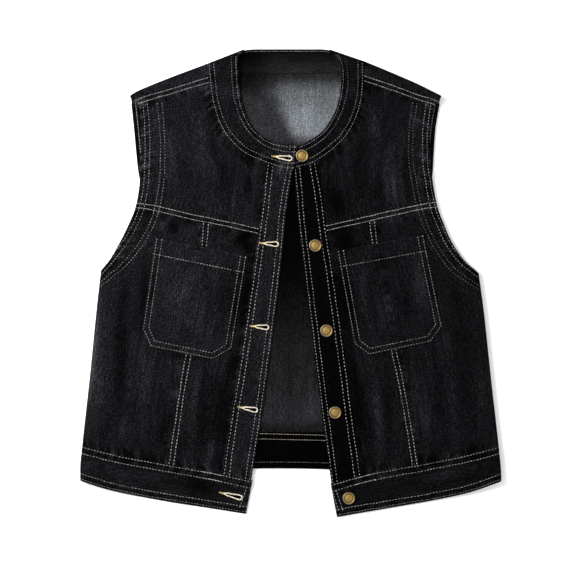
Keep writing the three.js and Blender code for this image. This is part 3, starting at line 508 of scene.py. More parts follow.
def close_up(outer, inner):
    """The faces of a wall between two grids: outer, inner and rim, pointing outwards."""
    n, m = outer.shape[:2]
    index = np.arange(n * m).reshape(n, m)
    face = np.stack([index[:-1, :-1], index[1:, :-1], index[1:, 1:], index[:-1, 1:]], -1).reshape(-1, 4)
    ring = np.concatenate([index[:, 0], index[-1, 1:], index[-2::-1, -1], index[0, -2:0:-1]])
    after = np.roll(ring, -1)
    rim = np.stack([after, ring, ring + n * m, after + n * m], axis=1)
    faces = np.vstack([face, face[:, ::-1] + n * m, rim])
    kind = np.repeat([0, 1, 0], [len(face), len(face), len(rim)])
    p = np.vstack([outer.reshape(-1, 3), inner.reshape(-1, 3)])
    a, b, c, d = (p[faces[:, k]] for k in range(4))
    volume = (a * np.cross(b, c)).sum() + (a * np.cross(c, d)).sum()
    return p, faces if volume > 0 else faces[:, ::-1], kind


def cloth_map(grid, along_columns):
    """Lengths of cloth across and along a grid, in metres, measured from its middle."""
    def lengths(points):
        steps = np.linalg.norm(np.diff(points, axis=0), axis=2)
        run = np.concatenate([np.zeros((1, points.shape[1])), np.cumsum(steps, axis=0)])
        return run - run[len(run) // 2]
    across, along = lengths(grid), lengths(grid.transpose(1, 0, 2)).T
    pair = (across, along) if along_columns else (along, across)
    return np.stack(pair, axis=-1) * MM


def shell(name, outer, inner, faces_of, tone=0.0, edges=(), along_columns=True):
    """A closed wall of cloth as an object, with its map and its attributes."""
    points, faces, kind = close_up(outer, inner)
    mesh = mesh_of(f"{name}_cloth", points, faces.tolist(), faces_of)
    mesh.polygons.foreach_set("material_index", np.minimum(kind, len(faces_of) - 1).astype(np.int32))
    flat = np.tile(cloth_map(outer, along_columns).reshape(-1, 2), (2, 1))
    corners = np.zeros(len(mesh.loops), np.int32)
    mesh.loops.foreach_get("vertex_index", corners)
    mesh.uv_layers.new(name="cloth").data.foreach_set("uv", flat[corners].ravel().astype(np.float32))
    x, y = points[:, 0], points[:, 1]
    worn = np.full(len(points), FAR_FROM_EDGE)
    for run in edges:
        worn = np.minimum(worn, gap_to(run, x, y)[0])
    give(mesh, "wash_and_shade", wash_and_shade(x, y) + tone)
    give(mesh, "edge_mm", worn)
    mesh.set_sharp_from_angle(angle=math.radians(SHARP_TURN))
    return put(f"{name}_cloth", mesh)


def declare(piece, outer, inner, nodes, slot, rests_on):
    """Ties a cloth piece to the frame and hides the solids that it stands for."""
    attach(piece, "root")
    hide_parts(*nodes)
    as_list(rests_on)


# %% Grids between four sides
def coons(sides, u, v):
    """Points between four sides, at shares u from left to right and v from bottom to top."""
    bottom, top, left, right = (sides[key] for key in ("bottom", "top", "left", "right"))
    ends = np.array([0.0, 1.0])
    (b0, b1), (t0, t1), (l0, l1), (r0, r1) = bottom(ends), top(ends), left(ends), right(ends)
    u, v = u[..., None], v[..., None]
    west = left(v[..., 0]) + (b0 - l0) * (1 - v) + (t0 - l1) * v
    east = right(v[..., 0]) + (b1 - r0) * (1 - v) + (t1 - r1) * v
    flat = (b0 * (1 - u) + b1 * u) * (1 - v) + (t0 * (1 - u) + t1 * u) * v
    return bottom(u[..., 0]) * (1 - v) + top(u[..., 0]) * v + west * (1 - u) + east * u - flat


def stops(length, step):
    """Shares along a side about a step apart, with close ones at both ends for its rounded edge."""
    close = np.array([0, 0.25, 0.6, 1.1]) / length
    count = max(2, round(length / step))
    return np.concatenate([close, np.linspace(1.8 / length, 1 - 1.8 / length, count), 1 - close[::-1]])


def grid_of(sides, width, height, step):
    """The shares of a grid over a piece of about that width and height."""
    return np.meshgrid(stops(width, step), stops(height, step), indexing="ij")


def with_height(plan, height):
    """A plane grid, lifted."""
    return np.concatenate([plan, height[..., None]], axis=-1)


# %% [markdown]
# ## Seams and edges
# A felled seam is four layers thick: the lapping piece stands a little higher for 10 mm, dips under
# each row of stitches and bulges between them. A turned edge rounds off within a millimetre or so.
# %% Relief near seams and edges
ROW_DIP = 0.28
ROW_DIP_WIDTH = 1.3


def dips(gap, rows):
    """The troughs that rows of stitches press into the cloth, at their distances from an edge."""
    return -sum(ROW_DIP * np.exp(-(((gap - row) / ROW_DIP_WIDTH) ** 2)) for row in rows)


def lap(gap):
    """The rise of a lapping edge, with its twin rows."""
    return SEAM_RISE * ease(0, RAMP, SEAM_WIDTH - gap) + dips(gap, (NEAR_ROW, FAR_ROW))


def rounded(gap, radius):
    """How far a turned edge falls within a radius of its end."""
    inside = 1 - np.clip(gap / radius, 0, 1)
    return -radius * (1 - np.sqrt(1 - inside**2))


# %% [markdown]
# ## Black denim
# Washed black denim is a cotton twill, dyed warp over a grey weft. From a step away the eye sees slubs,
# short pale streaks down the warp, more than the twill itself, whose ribs are under a millimetre. The
# ribs are drawn a little coarser than life so that they still show. Cotton is matt, with a weak fuzzy
# sheen.
# %% Node helper and colours
def feed(node, inputs):
    """Sets or links a node's inputs."""
    for key, value in inputs.items():
        if isinstance(value, bpy.types.NodeSocket):
            node.id_data.links.new(value, node.inputs[key])
        else:
            node.inputs[key].default_value = value
    return node


def add(tree, kind, inputs=(), **settings):
    """Adds a node, sets its properties, and sets or links its inputs."""
    node = tree.nodes.new(kind)
    for key, value in settings.items():
        setattr(node, key, value)
    return feed(node, dict(inputs))


def sum_of(tree, operation, *values):
    """The result of a maths node on numbers, sockets or both."""
    return add(tree, "ShaderNodeMath", dict(enumerate(values)), operation=operation).outputs[0]


def linear(colour):
    """An sRGB hex colour as linear RGBA."""
    channels = [int(colour[k:k + 2], 16) / 255 for k in (1, 3, 5)]
    return [c / 12.92 if c <= 0.04045 else ((c + 0.055) / 1.055) ** 2.4 for c in channels] + [1.0]


def ramp(tree, fac, table):
    """A colour ramp from a table of positions and hex colours."""
    node = add(tree, "ShaderNodeValToRGB", {"Fac": fac})
    for k, (place, colour) in enumerate(table):
        stop = node.color_ramp.elements[k] if k < 2 else node.color_ramp.elements.new(place)
        stop.position = place
        stop.color = linear(colour)
    return node


def blank(name, finish=()):
    """A material with an empty node tree but for its shader, whose own inputs give the finish."""
    material = bpy.data.materials.new(name)
    material.use_nodes = True
    tree = material.node_tree
    tree.nodes.clear()
    shader = add(tree, "ShaderNodeBsdfPrincipled", finish)
    add(tree, "ShaderNodeOutputMaterial", {"Surface": shader.outputs["BSDF"]})
    return material, tree, shader


# %% Denim, from slub, streak, cloud, speck, twill and the two attributes
SLUB, STREAK, CLOUD, SPECK = (0.0015, 0.008), (0.005, 0.07), (0.012, 0.03), (0.0015, 0.0015)
TWILL = 0.0012
WAVE_PER_METRE = 0.314
TWILL_SLOPE = 27
WORN_WIDTH = 2.6
PLAIN = 0.29


def denim(name, shades, edge_tone=0.12, contrast=1.0):
    """Twill with the wash and painted shading from the shell's attributes, dark to pale through the shades.
    """
    material, tree, shader = blank(name, {
        "Roughness": 0.92, "Specular IOR Level": 0.005, "Sheen Weight": 0.004, "Sheen Roughness": 0.6})
    cloth = add(tree, "ShaderNodeUVMap", uv_map="cloth").outputs["UV"]

    def noise(width, length, detail=2.0):
        place = add(tree, "ShaderNodeMapping", {"Vector": cloth, "Scale": (1 / width, 1 / length, 1)})
        return add(tree, "ShaderNodeTexNoise",
                   {"Vector": place.outputs["Vector"], "Scale": 1.0, "Detail": detail,
                    "Roughness": 0.62}).outputs["Fac"]

    slub = noise(*SLUB)
    turned = add(tree, "ShaderNodeMapping",
                 {"Vector": cloth, "Rotation": (0, 0, math.radians(TWILL_SLOPE))})
    twill = add(tree, "ShaderNodeTexWave",
                {"Vector": turned.outputs["Vector"], "Scale": WAVE_PER_METRE / TWILL, "Distortion": 1.2,
                 "Detail": 1.0}, wave_type="BANDS", bands_direction="X").outputs["Fac"]
    wash_and_shade_tone = add(tree, "ShaderNodeAttribute", attribute_name="wash_and_shade").outputs["Fac"]
    edge = add(tree, "ShaderNodeAttribute", attribute_name="edge_mm").outputs["Fac"]
    worn = add(tree, "ShaderNodeMapRange", {"Value": edge, "From Min": 0.0, "From Max": WORN_WIDTH,
                                            "To Min": edge_tone, "To Max": 0.0})
    tone = sum_of(tree, "ADD", wash_and_shade_tone, worn.outputs["Result"])
    for pattern, weight in ((slub, 0.8), (noise(*STREAK), 0.34), (noise(*CLOUD), 0.26),
                            (noise(*SPECK, 1.0), 1.5), (twill, 0.1)):
        swing = sum_of(tree, "SUBTRACT", pattern, 0.5)
        tone = sum_of(tree, "MULTIPLY_ADD", swing, weight * contrast, tone)
    colours = ramp(tree, sum_of(tree, "ADD", tone, PLAIN), shades)
    bump = add(tree, "ShaderNodeBump",
               {"Height": sum_of(tree, "ADD", slub, twill), "Strength": 0.35, "Distance": 0.0003})
    feed(shader, {"Base Color": colours.outputs["Color"], "Normal": bump.outputs["Normal"]})
    return material


BLACK = [(0.0, "#010101"), (0.2, "#050506"), (0.4, "#0f0f11"), (0.6, "#1d1d20"), (0.8, "#313136"),
         (1.0, "#505057")]
GREY = [(0.0, "#010101"), (0.2, "#0d0d0e"), (0.4, "#232325"), (0.6, "#434547"), (0.8, "#6a6f74"),
        (1.0, "#949ca3")]
SHADE = [(0.0, "#010101"), (0.2, "#050505"), (0.4, "#0f0f0f"), (0.6, "#1d1d1d"), (0.8, "#323233"),
         (1.0, "#505154")]
body_denim = denim("washed_black_denim", BLACK)
band_denim = denim("washed_black_denim_doubled", BLACK, edge_tone=0.2)
wrong_side = denim("denim_wrong_side", GREY, edge_tone=0.0, contrast=0.45)
shaded_side = denim("denim_doubled_inside", SHADE, edge_tone=0.1, contrast=0.6)
print("cloth finishes:", body_denim.name, band_denim.name, wrong_side.name, shaded_side.name)

# %% [markdown]
# ## The front panels
# Each front is a side panel that rolls round the side fold to the seam under it, a centre panel lapped
# over it, a yoke lapped over both, and a placket. The roll is a half circle whose height the drape
# gives.
# %% Side pieces that roll round the fold
FOLD_STEPS = 12


def over(wall, relief):
    """The height of the top of a piece that lies as the fronts do."""
    return lambda x, y: drape(x, y) + wall + relief(x, y)


def rolled(sides, step, wall, relief, roll):
    """Both faces of a piece whose left side rolls round a fold; roll says how far, for shares v."""
    u, v = grid_of(sides, *size_of(sides), step)
    radius_plan = fold_radius(wall)
    edge = coons(sides, np.zeros(v.shape[1]), v[0])
    inner_side = coons(sides, np.ones(v.shape[1]), v[0])
    room = radius_plan / np.linalg.norm(inner_side - edge, axis=1)
    plan = coons(sides, room + (1 - room) * u, v)[1:]
    x, y = plan[..., 0], plan[..., 1]
    top = over(wall, relief)
    inward = unit(plan[4] - edge)
    crest = edge + inward * radius_plan
    crest_top = top(crest[:, 0], crest[:, 1])
    share = np.linspace(0, 1, FOLD_STEPS + 1)[:, None]
    turn = math.pi * (share - 0.5)
    far = roll(v[0])

    def ring(r, lift):
        flat = edge + inward * (radius_plan * share[..., None])
        flat = with_height(flat, drape(flat[..., 0], flat[..., 1]) + lift)
        out = radius_plan - r * np.cos(turn)
        round_it = with_height(edge + inward * out[..., None], crest_top / 2 + r * np.sin(turn))
        return flat + (round_it - flat) * far[None, :, None]

    return (np.vstack([ring(crest_top / 2, wall), with_height(plan, top(x, y))]),
            np.vstack([ring(crest_top / 2 - wall, 0), with_height(plan, drape(x, y))]))


def flat_piece(sides, step, wall, relief):
    """Both faces of a piece that lies as the fronts do."""
    plan = coons(sides, *grid_of(sides, *size_of(sides), step))
    x, y = plan[..., 0], plan[..., 1]
    return with_height(plan, over(wall, relief)(x, y)), with_height(plan, drape(x, y))


def size_of(sides):
    """The rough width and height of a piece between four sides."""
    share = np.linspace(0, 1, 30)
    run = [tape(sides[key](share))[-1] for key in ("bottom", "top", "left", "right")]
    return max(run[0], run[1]), max(run[2], run[3])


BODY_BREAK = 10 / 14
NECK_BREAK = 5 / 14
PANEL_STEP = 2.1
BAND_STEP_FINE = 1.5
ROLL_ENDS = (-15, 44)
TROUGHS_FADE = (-200, 60)
UNDER_POCKET = (8, 16)
TROUGHS = {"armhole": (4.4, 10.4, 23.4, 29.0), "placket": (2.9, 8.7), "waist": (2.3, 10.1), "hem": (9.0,)}
PLACKET_TONE = {-1: 0.02, 1: -0.29}
BAND_TONE = -0.05
surface = {}


# %% The pieces of a front
def make(part, front, faces, top, slot, tone, edges, rests_on, along_columns=True, nodes=None):
    """Makes a piece of a front over its solid, and keeps the height of its top for the stitches."""
    name = f"{part}_{front['name']}"
    cloth = [body_denim, wrong_side] if slot == "body_denim" else [band_denim]
    piece = shell(name, *faces, cloth, tone, edges, along_columns)
    declare(piece, *faces, nodes or [name], slot, rests_on)
    surface[name] = top


def side_panel(front):
    """From the side fold and the armhole to the panel seam."""
    sides = {
        "bottom": cut(front, "waist_top", 0, "waist_at_panel"),
        "top": cut(front, "yoke_seam", 0, "yoke_at_panel"),
        "left": chain([cut(front, "side_fold", "fold_at_waist", 0),
                       cut(front, "front_armhole", 1, "armhole_at_yoke")], [0, BODY_BREAK, 1]),
        "right": cut(front, "panel_seam", 0, 1),
    }
    armhole = tape(front["front_armhole"])[-1] * (1 - front["armhole_at_yoke"])

    def roll(v):
        past = (v - BODY_BREAK) / (1 - BODY_BREAK) * armhole
        return np.where(v < BODY_BREAK, 1.0, 1 - ease(*ROLL_ENDS, past))

    def relief(x, y):
        gap = off(front, "front_armhole", x, y, 4)
        return rounded(gap, 0.9) + dips(gap, TROUGHS["armhole"]) * ease(*TROUGHS_FADE, y)

    make("front_side", front, rolled(sides, PANEL_STEP, DENIM, relief, roll), over(DENIM, relief),
         "body_denim", 0.0, [front["front_armhole"][::4]], ["back_panel"])


def panel_rise(front, x, y):
    """The felled seam beside the side panel, flatter under the pocket."""
    rows = front["pocket"][:, 1]
    covered = ease(*UNDER_POCKET, y - rows.min()) * ease(*UNDER_POCKET, rows.max() - y)
    return lap(off(front, "panel_seam", x, y, 4)) * (1 - covered)


def centre_panel(front):
    """From the panel seam to the placket."""
    sides = {
        "bottom": cut(front, "waist_top", "waist_at_panel", "waist_at_placket"),
        "top": cut(front, "yoke_seam", "yoke_at_panel", 1),
        "left": cut(front, "panel_seam", 0, 1),
        "right": cut(front, "placket_inner", 0, "placket_at_yoke"),
    }

    def relief(x, y):
        return panel_rise(front, x, y) + rounded(off(front, "panel_seam", x, y, 4), 1.0)

    make("front_centre", front, flat_piece(sides, PANEL_STEP, DENIM, relief), over(DENIM, relief),
         "body_denim", 0.0, [front["panel_seam"][::4]], ["back_panel"])


def yoke(front):
    """From the yoke seam up to the shoulder seam."""
    sides = {
        "bottom": cut(front, "yoke_seam", 0, 1),
        "top": cut(front, "shoulder_seam", 1, 0),
        "left": cut(front, "front_armhole", "armhole_at_yoke", 0),
        "right": chain([cut(front, "placket_inner", "placket_at_yoke", 1),
                        cut(front, "neck_outer", "neck_at_placket", "neck_at_seam")], [0, NECK_BREAK, 1]),
    }

    def relief(x, y):
        seam, armhole = off(front, "yoke_seam", x, y), off(front, "front_armhole", x, y, 4)
        return (lap(seam) + rounded(seam, 1.0) + rounded(armhole, 0.9)
                + dips(armhole, TROUGHS["armhole"]))

    make("front_yoke", front, flat_piece(sides, PANEL_STEP, DENIM, relief), over(DENIM, relief),
         "body_denim", 0.0, [front["yoke_seam"][::4], front["front_armhole"][::4]], ["back_panel"])


def placket(front):
    """The doubled strip along the centre edge."""
    sides = {
        "bottom": cut(front, "waist_top", "waist_at_placket", "waist_at_centre"),
        "top": cut(front, "neck_outer", "neck_at_placket", "neck_at_centre"),
        "left": cut(front, "placket_inner", 0, 1),
        "right": cut(front, "centre_edge", 0, 1),
    }

    def relief(x, y):
        seam, edge = off(front, "placket_inner", x, y), off(front, "centre_edge", x, y)
        return (dips(seam, TROUGHS["placket"]) + dips(edge, (NEAR_ROW, FAR_ROW))
                + rounded(seam, 1.1) + rounded(edge, 1.4))

    make("placket", front, flat_piece(sides, BAND_STEP_FINE, PLACKET_WALL, relief),
         over(PLACKET_WALL, relief), "band_denim", PLACKET_TONE[front["side"]],
         [front["placket_inner"][::3], front["centre_edge"][::3]], ["back_panel"])


def waistband(front):
    """The doubled band below the panels, rolled round the side fold as they are."""
    corner = np.array([front["hem"][-1], front["waist_top"][-1]])
    sides = {
        "bottom": cut(front, "hem", 0, 1),
        "top": cut(front, "waist_top", 0, 1),
        "left": cut(front, "side_fold", 1, "fold_at_waist"),
        "right": stretch(corner, 0, 1),
    }

    def relief(x, y):
        seam, hem = off(front, "waist_top", x, y), off(front, "hem", x, y)
        return (dips(seam, TROUGHS["waist"]) + dips(hem, TROUGHS["hem"]) + rounded(seam, 1.1)
                + rounded(hem, 1.5) + rounded(gap_to(corner, x, y)[0], 1.5))

    make("front_waistband", front,
         rolled(sides, BAND_STEP_FINE, FOLDED, relief, lambda v: np.ones(v.shape)),
         over(FOLDED, relief), "band_denim", BAND_TONE,
         [front["waist_top"][::3], front["hem"][::3], corner], ["back_waistband"], along_columns=False)


for front in FRONTS:
    for piece_of in (side_panel, centre_panel, yoke, placket, waistband):
        piece_of(front)

# %% [markdown]
# ## Patch pockets
# A pocket is one layer with a turned hem at its opening, sewn down round three sides. It lies tight on
# the panels along its stitches, bridges the seam under it, and its opening stands off a little in the
# middle.
# %% Pockets
POCKET_HEM = 21
POCKET_GAPE = 1.0
BED_REACH = 6
SEWN_LIFT = 0.1
BRIDGE = 9


def panel_top(front, x, y):
    """The top of the panels that a pocket lies on."""
    return drape(x, y) + DENIM + panel_rise(front, x, y)


def pocket(front):
    outer_top, outer_low, cut_outer, cut_inner, inner_low, inner_top = front["pocket"]
    line = lambda *points: stretch(np.array(points), 0, 1)
    sides = {
        "bottom": chain([line(outer_low, cut_outer), line(cut_outer, cut_inner),
                         line(cut_inner, inner_low)], [0, 1 / 7, 6 / 7, 1]),
        "top": line(outer_top, inner_top),
        "left": line(outer_low, outer_top),
        "right": line(inner_low, inner_top),
    }
    sewn = front["pocket"]
    opening = np.array([outer_top, inner_top])
    u, v = np.meshgrid(np.linspace(0, 1, 71), stops(size_of(sides)[1], 1.8), indexing="ij")
    plan = coons(sides, u, v)
    x, y = plan[..., 0], plan[..., 1]

    def base(x, y):
        tight = panel_top(front, x, y)
        around = [panel_top(front, x + dx, y + dy) for dx in (-BED_REACH, 0, BED_REACH)
                  for dy in (-BED_REACH, 0, BED_REACH)]
        bed = np.maximum.reduce(around) + SEAM_GAP
        seam = gap_to(sewn, x, y)[0]
        mouth, foot = gap_to(opening, x, y)
        middle = np.sin(math.pi * foot / tape(opening)[-1])
        gape = POCKET_GAPE * middle * np.exp(-mouth / POCKET_HEM)
        return tight + SEWN_LIFT + (bed - tight - SEWN_LIFT) * ease(0, BRIDGE, seam) + gape

    def relief(x, y):
        seam = gap_to(sewn, x, y)[0]
        mouth = gap_to(opening, x, y)[0]
        hem = 0.6 * (1 - ease(POCKET_HEM - 1.5, POCKET_HEM, mouth)) + dips(mouth, (POCKET_HEM,))
        return hem + dips(seam, (1.9, 7.4)) + rounded(seam, 1.0) + rounded(mouth, 1.2)

    low = base(x, y)
    faces = with_height(plan, low + POCKET_WALL + relief(x, y)), with_height(plan, low)
    make("pocket", front, faces, lambda x, y: base(x, y) + POCKET_WALL + relief(x, y), "body_denim", 0.03,
         [sewn, opening], [f"front_side_{front['name']}", f"front_centre_{front['name']}"])


for front in FRONTS:
    pocket(front)

# %% [markdown]
# ## The back
# The back lies flat on the table with its wrong side up, which shows through the neck and the open
# front: pale grey weft, with painted shade under the collar band, between the fronts and to the
# wearer's right of the neck, and painted light in the neck opening. At each shoulder it turns over
# the fold and comes forward to a seam on the front, where it laps over the yoke.
# %% Back, shoulders, inside waistband and armhole facings
BACK_INSET = 4.8
NECK_FROM = 176
BACK_PAINTED_SHADING = [
    (-200, -0.16), (-192, -0.12), (-178, 0.02), (-152, -0.02), (-126, -0.05), (-87, -0.07), (-48, -0.15),
    (-9, -0.24), (30, -0.36), (70, -0.44), (150, -0.5), (172, -0.1), (184, 0.2), (194, 0.4), (207, 0.4),
    (222, 0.38), (238, 0.33), (249, 0.3), (259, 0.19), (266, 0.03), (275, -0.05),
]  # height up the back, painted light and shade inside it
# Painted shade to the wearer's right of the neck opening: height up the back, tone inside it
PAINTED_SHADE_LEFT_OF_NECK = [
    (176, -0.1), (184, 0.04), (194, 0.07), (207, 0.06), (222, 0.04), (238, 0.02), (249, -0.06), (256, -0.16),
    (264, -0.2), (275, -0.24),
]
NECK_SHADOW = [
    (180, 8, 9), (194, 0, 9), (207, -6, 11), (222, -12, 14), (238, -17, 18), (249, -27, 26), (262, -30, 30),
]  # height, middle and half width of the soft edge between them
GAP_SHADE = [
    ((-30, -60), (-34, -110), 7, 0.06), ((0, -70), (-4, -180), 6, -0.04), ((24, -130), (30, -190), 7, 0.07),
    ((-40, 240), (-36, 215), 5, 0.05), ((14, 236), (20, 205), 9, 0.05), ((40, 250), (48, 215), 9, -0.01),
]  # both ends, half width, tone


def over_fold(edge, outward, wall, steps):
    """Points of both faces round a shoulder fold, from the floor to its crest."""
    radius = fold_radius(wall)
    turn = math.pi * (np.linspace(0, 1, steps + 1)[:, None] - 0.5)
    centre = edge - outward * radius

    def ring(r):
        place = centre[None] + outward * (r * np.cos(turn))[..., None]
        return with_height(place, np.broadcast_to(radius + r * np.sin(turn), place.shape[:2]))
    return ring(radius), ring(radius - wall)


def outward_of(run):
    """The way that a shoulder fold faces."""
    way = unit(run[-1] - run[0])
    return left_of(way) * np.sign(way[0])


def back():
    right, left = FRONTS
    across = np.linspace(0, 1, 121)
    axis = []
    for front in FRONTS:
        outward = outward_of(at(front["shoulder_fold"], [0.0, 1.0]))
        axis.append(at(front["shoulder_fold"], np.linspace(0, 1, 30)) - outward * fold_radius(DENIM))
    neck = at(neck_seam, np.linspace(0, 1, 40))
    top = np.vstack([axis[0][::-1], neck[3:-3], axis[1]])
    inset = [np.array([front["side"] * BACK_INSET, 0]) for front in FRONTS]
    flanks = []
    for front, step in zip(FRONTS, inset):
        side = at(front["side_fold"], np.linspace(front["fold_at_waist"], 0, 40)) - step
        flanks.append(np.vstack([side, at(front["back_armhole"], np.linspace(1, 0, 60))[2:]]))
    sides = {"bottom": stretch(band_top, 0, 1), "top": stretch(top, 0, 1),
             "left": stretch(flanks[0], 0, 1), "right": stretch(flanks[1], 0, 1)}
    u, v = np.meshgrid(across, np.linspace(0, 1, 111), indexing="ij")
    plan = coons(sides, u, v)
    wave = 0.25 * ridges([((-30, 180), (-10, -180), 9, 0.8), ((20, 170), (24, -190), 8, 0.6),
                          ((-20, 250), (34, 190), 9, 0.8)], plan[..., 0], plan[..., 1])
    outer = with_height(plan, np.zeros(u.shape))
    inner = with_height(plan, DENIM + wave)
    piece = shell("back", outer, inner, [body_denim, wrong_side], 0.0)
    x, y = (np.tile(plan[..., k].ravel(), 2) for k in (0, 1))
    # The back's tone is painted light and shade, read from the tables above.
    tone, left = (np.interp(y, *np.array(table).T) for table in (BACK_PAINTED_SHADING, PAINTED_SHADE_LEFT_OF_NECK))
    level, middle, half = np.array(NECK_SHADOW).T
    middle, half = np.interp(y, level, middle), np.interp(y, level, half)
    tone = np.where(y > NECK_FROM, left + (tone - left) * ease(-1, 1, (x - middle) / half), tone)
    tone = tone + ridges(GAP_SHADE, x, y)
    piece.data.attributes["wash_and_shade"].data.foreach_set("value", tone.astype(np.float32))
    declare(piece, outer, inner, ["back_panel"], "body_denim", [])


def shoulder(front):
    share = np.linspace(0, 1, 60)
    fold = at(front["shoulder_fold"], share)
    outward = outward_of(at(front["shoulder_fold"], [0.0, 1.0]))
    ring_out, ring_in = over_fold(fold, outward, DENIM, FOLD_STEPS)
    start = ring_out[-1, :, :2]
    seam = at(front["shoulder_seam"], share)
    run = stops(28, 1.6)[1:]
    neck = at(front["neck_outer"], 1 + (front["neck_at_seam"] - 1) * run)
    straight = start[0] + (seam[0] - start[0]) * run[:, None]
    plan = start[None] + (seam - start)[None] * run[:, None, None]
    plan = plan + (neck - straight)[:, None, :] * (1 - share)[None, :, None]
    x, y = plan[..., 0], plan[..., 1]

    def relief(x, y):
        gap = off(front, "shoulder_seam", x, y)
        return lap(gap) + rounded(gap, 1.0)

    height = drape(x, y)
    top = with_height(plan, height + DENIM + relief(x, y) * ease(0, 6, tape_from(plan)))
    outer = np.concatenate([ring_out, top])
    inner = np.concatenate([ring_in, with_height(plan, height)])
    make("back_shoulder", front, (outer, inner), over(DENIM, relief), "body_denim", 0.03,
         [front["shoulder_seam"][::3]], ["back_cloth"], along_columns=False, nodes=["back_panel"])


def tape_from(plan):
    """How far each point of a grid is from its first row."""
    return np.linalg.norm(plan - plan[:1], axis=2)


def back_waistband():
    corners = [np.array([band_hem[end], band_top[end]]) for end in (0, -1)]
    sides = {"bottom": stretch(band_hem, 0, 1), "top": stretch(band_top, 0, 1),
             "left": stretch(corners[0], 0, 1), "right": stretch(corners[1], 0, 1)}
    u, v = np.meshgrid(np.linspace(0, 1, 181), stops(46, 1.6), indexing="ij")
    plan = coons(sides, u, v)
    top = gap_to(band_top[::4], plan[..., 0], plan[..., 1])
    hem = gap_to(band_hem[::4], plan[..., 0], plan[..., 1])[0]
    height = (FOLDED + 0.15 * uneven(top[1], 11, 3) + dips(top[0], (2.4, 9.0)) + dips(hem, (8.4,))
              + rounded(top[0], 1.2) + rounded(hem, 1.4))
    outer, inner = with_height(plan, np.zeros(u.shape)), with_height(plan, height)
    piece = shell("back_waistband", outer, inner, [band_denim], -0.52, [band_hem[::4]],
                  along_columns=False)
    declare(piece, outer, inner, ["back_waistband"], "band_denim", [])
    surface["back_waistband_band"] = lambda x, y: np.full(np.shape(x), FOLDED - 0.1)


def facing(front):
    share = np.linspace(0.03, 0.9, 90)
    edge = at(front["back_armhole"], share)
    inward = left_of(unit(np.gradient(edge, axis=0))) * -front["side"]
    across = 0.6 + FACING_WIDTH * stops(FACING_WIDTH, 1.8)
    plan = edge[None] + inward[None] * across[:, None, None]
    gap = np.broadcast_to(across[:, None], plan.shape[:2])
    low = np.full(plan.shape[:2], DENIM + SEAM_GAP)
    top = low + FACING_WALL + dips(gap, TROUGHS["armhole"][:2]) + rounded(gap - 0.6, 0.8)
    # The facing's tone, 0.14 below the plain black, is painted shade under the front's armhole edge.
    make("armhole_facing", front, (with_height(plan, top), with_height(plan, low)),
         lambda x, y: np.full(np.shape(x), DENIM + SEAM_GAP + FACING_WALL), "band_denim", -0.14,
         [front["back_armhole"][::4]], ["back_panel"])


back()
back_waistband()
for front in FRONTS:
    shoulder(front)
    facing(front)

# %% [markdown]
# ## The neckband
# One long folded band runs from the centre over a shoulder, round the back of the neck and down the
# other side. It is a strip swept through stations: on the fronts it lies on the drape, at each shoulder
# it turns round the fold, and behind the neck it lies on the table with its inside up. The right end
# laps the left.
# %% Neckband
NECK_ROWS = (2.6, 8.4)
OVERLAP_LIFT = FOLDED + REST_GAP
LAP_RUN = (10, 40)


def neck_relief(across, width):
    """The band's section: two turned edges, each with its twin rows."""
    near = np.minimum(across, width - across)
    return dips(near, NECK_ROWS) + rounded(near, 1.3)


def neck_lift(x, y):
    """The right end lies over the left one."""
    gap = np.abs(x - FRONTS[0]["neck_outer"][0][0])
    return OVERLAP_LIFT * (1 - ease(*LAP_RUN, gap))


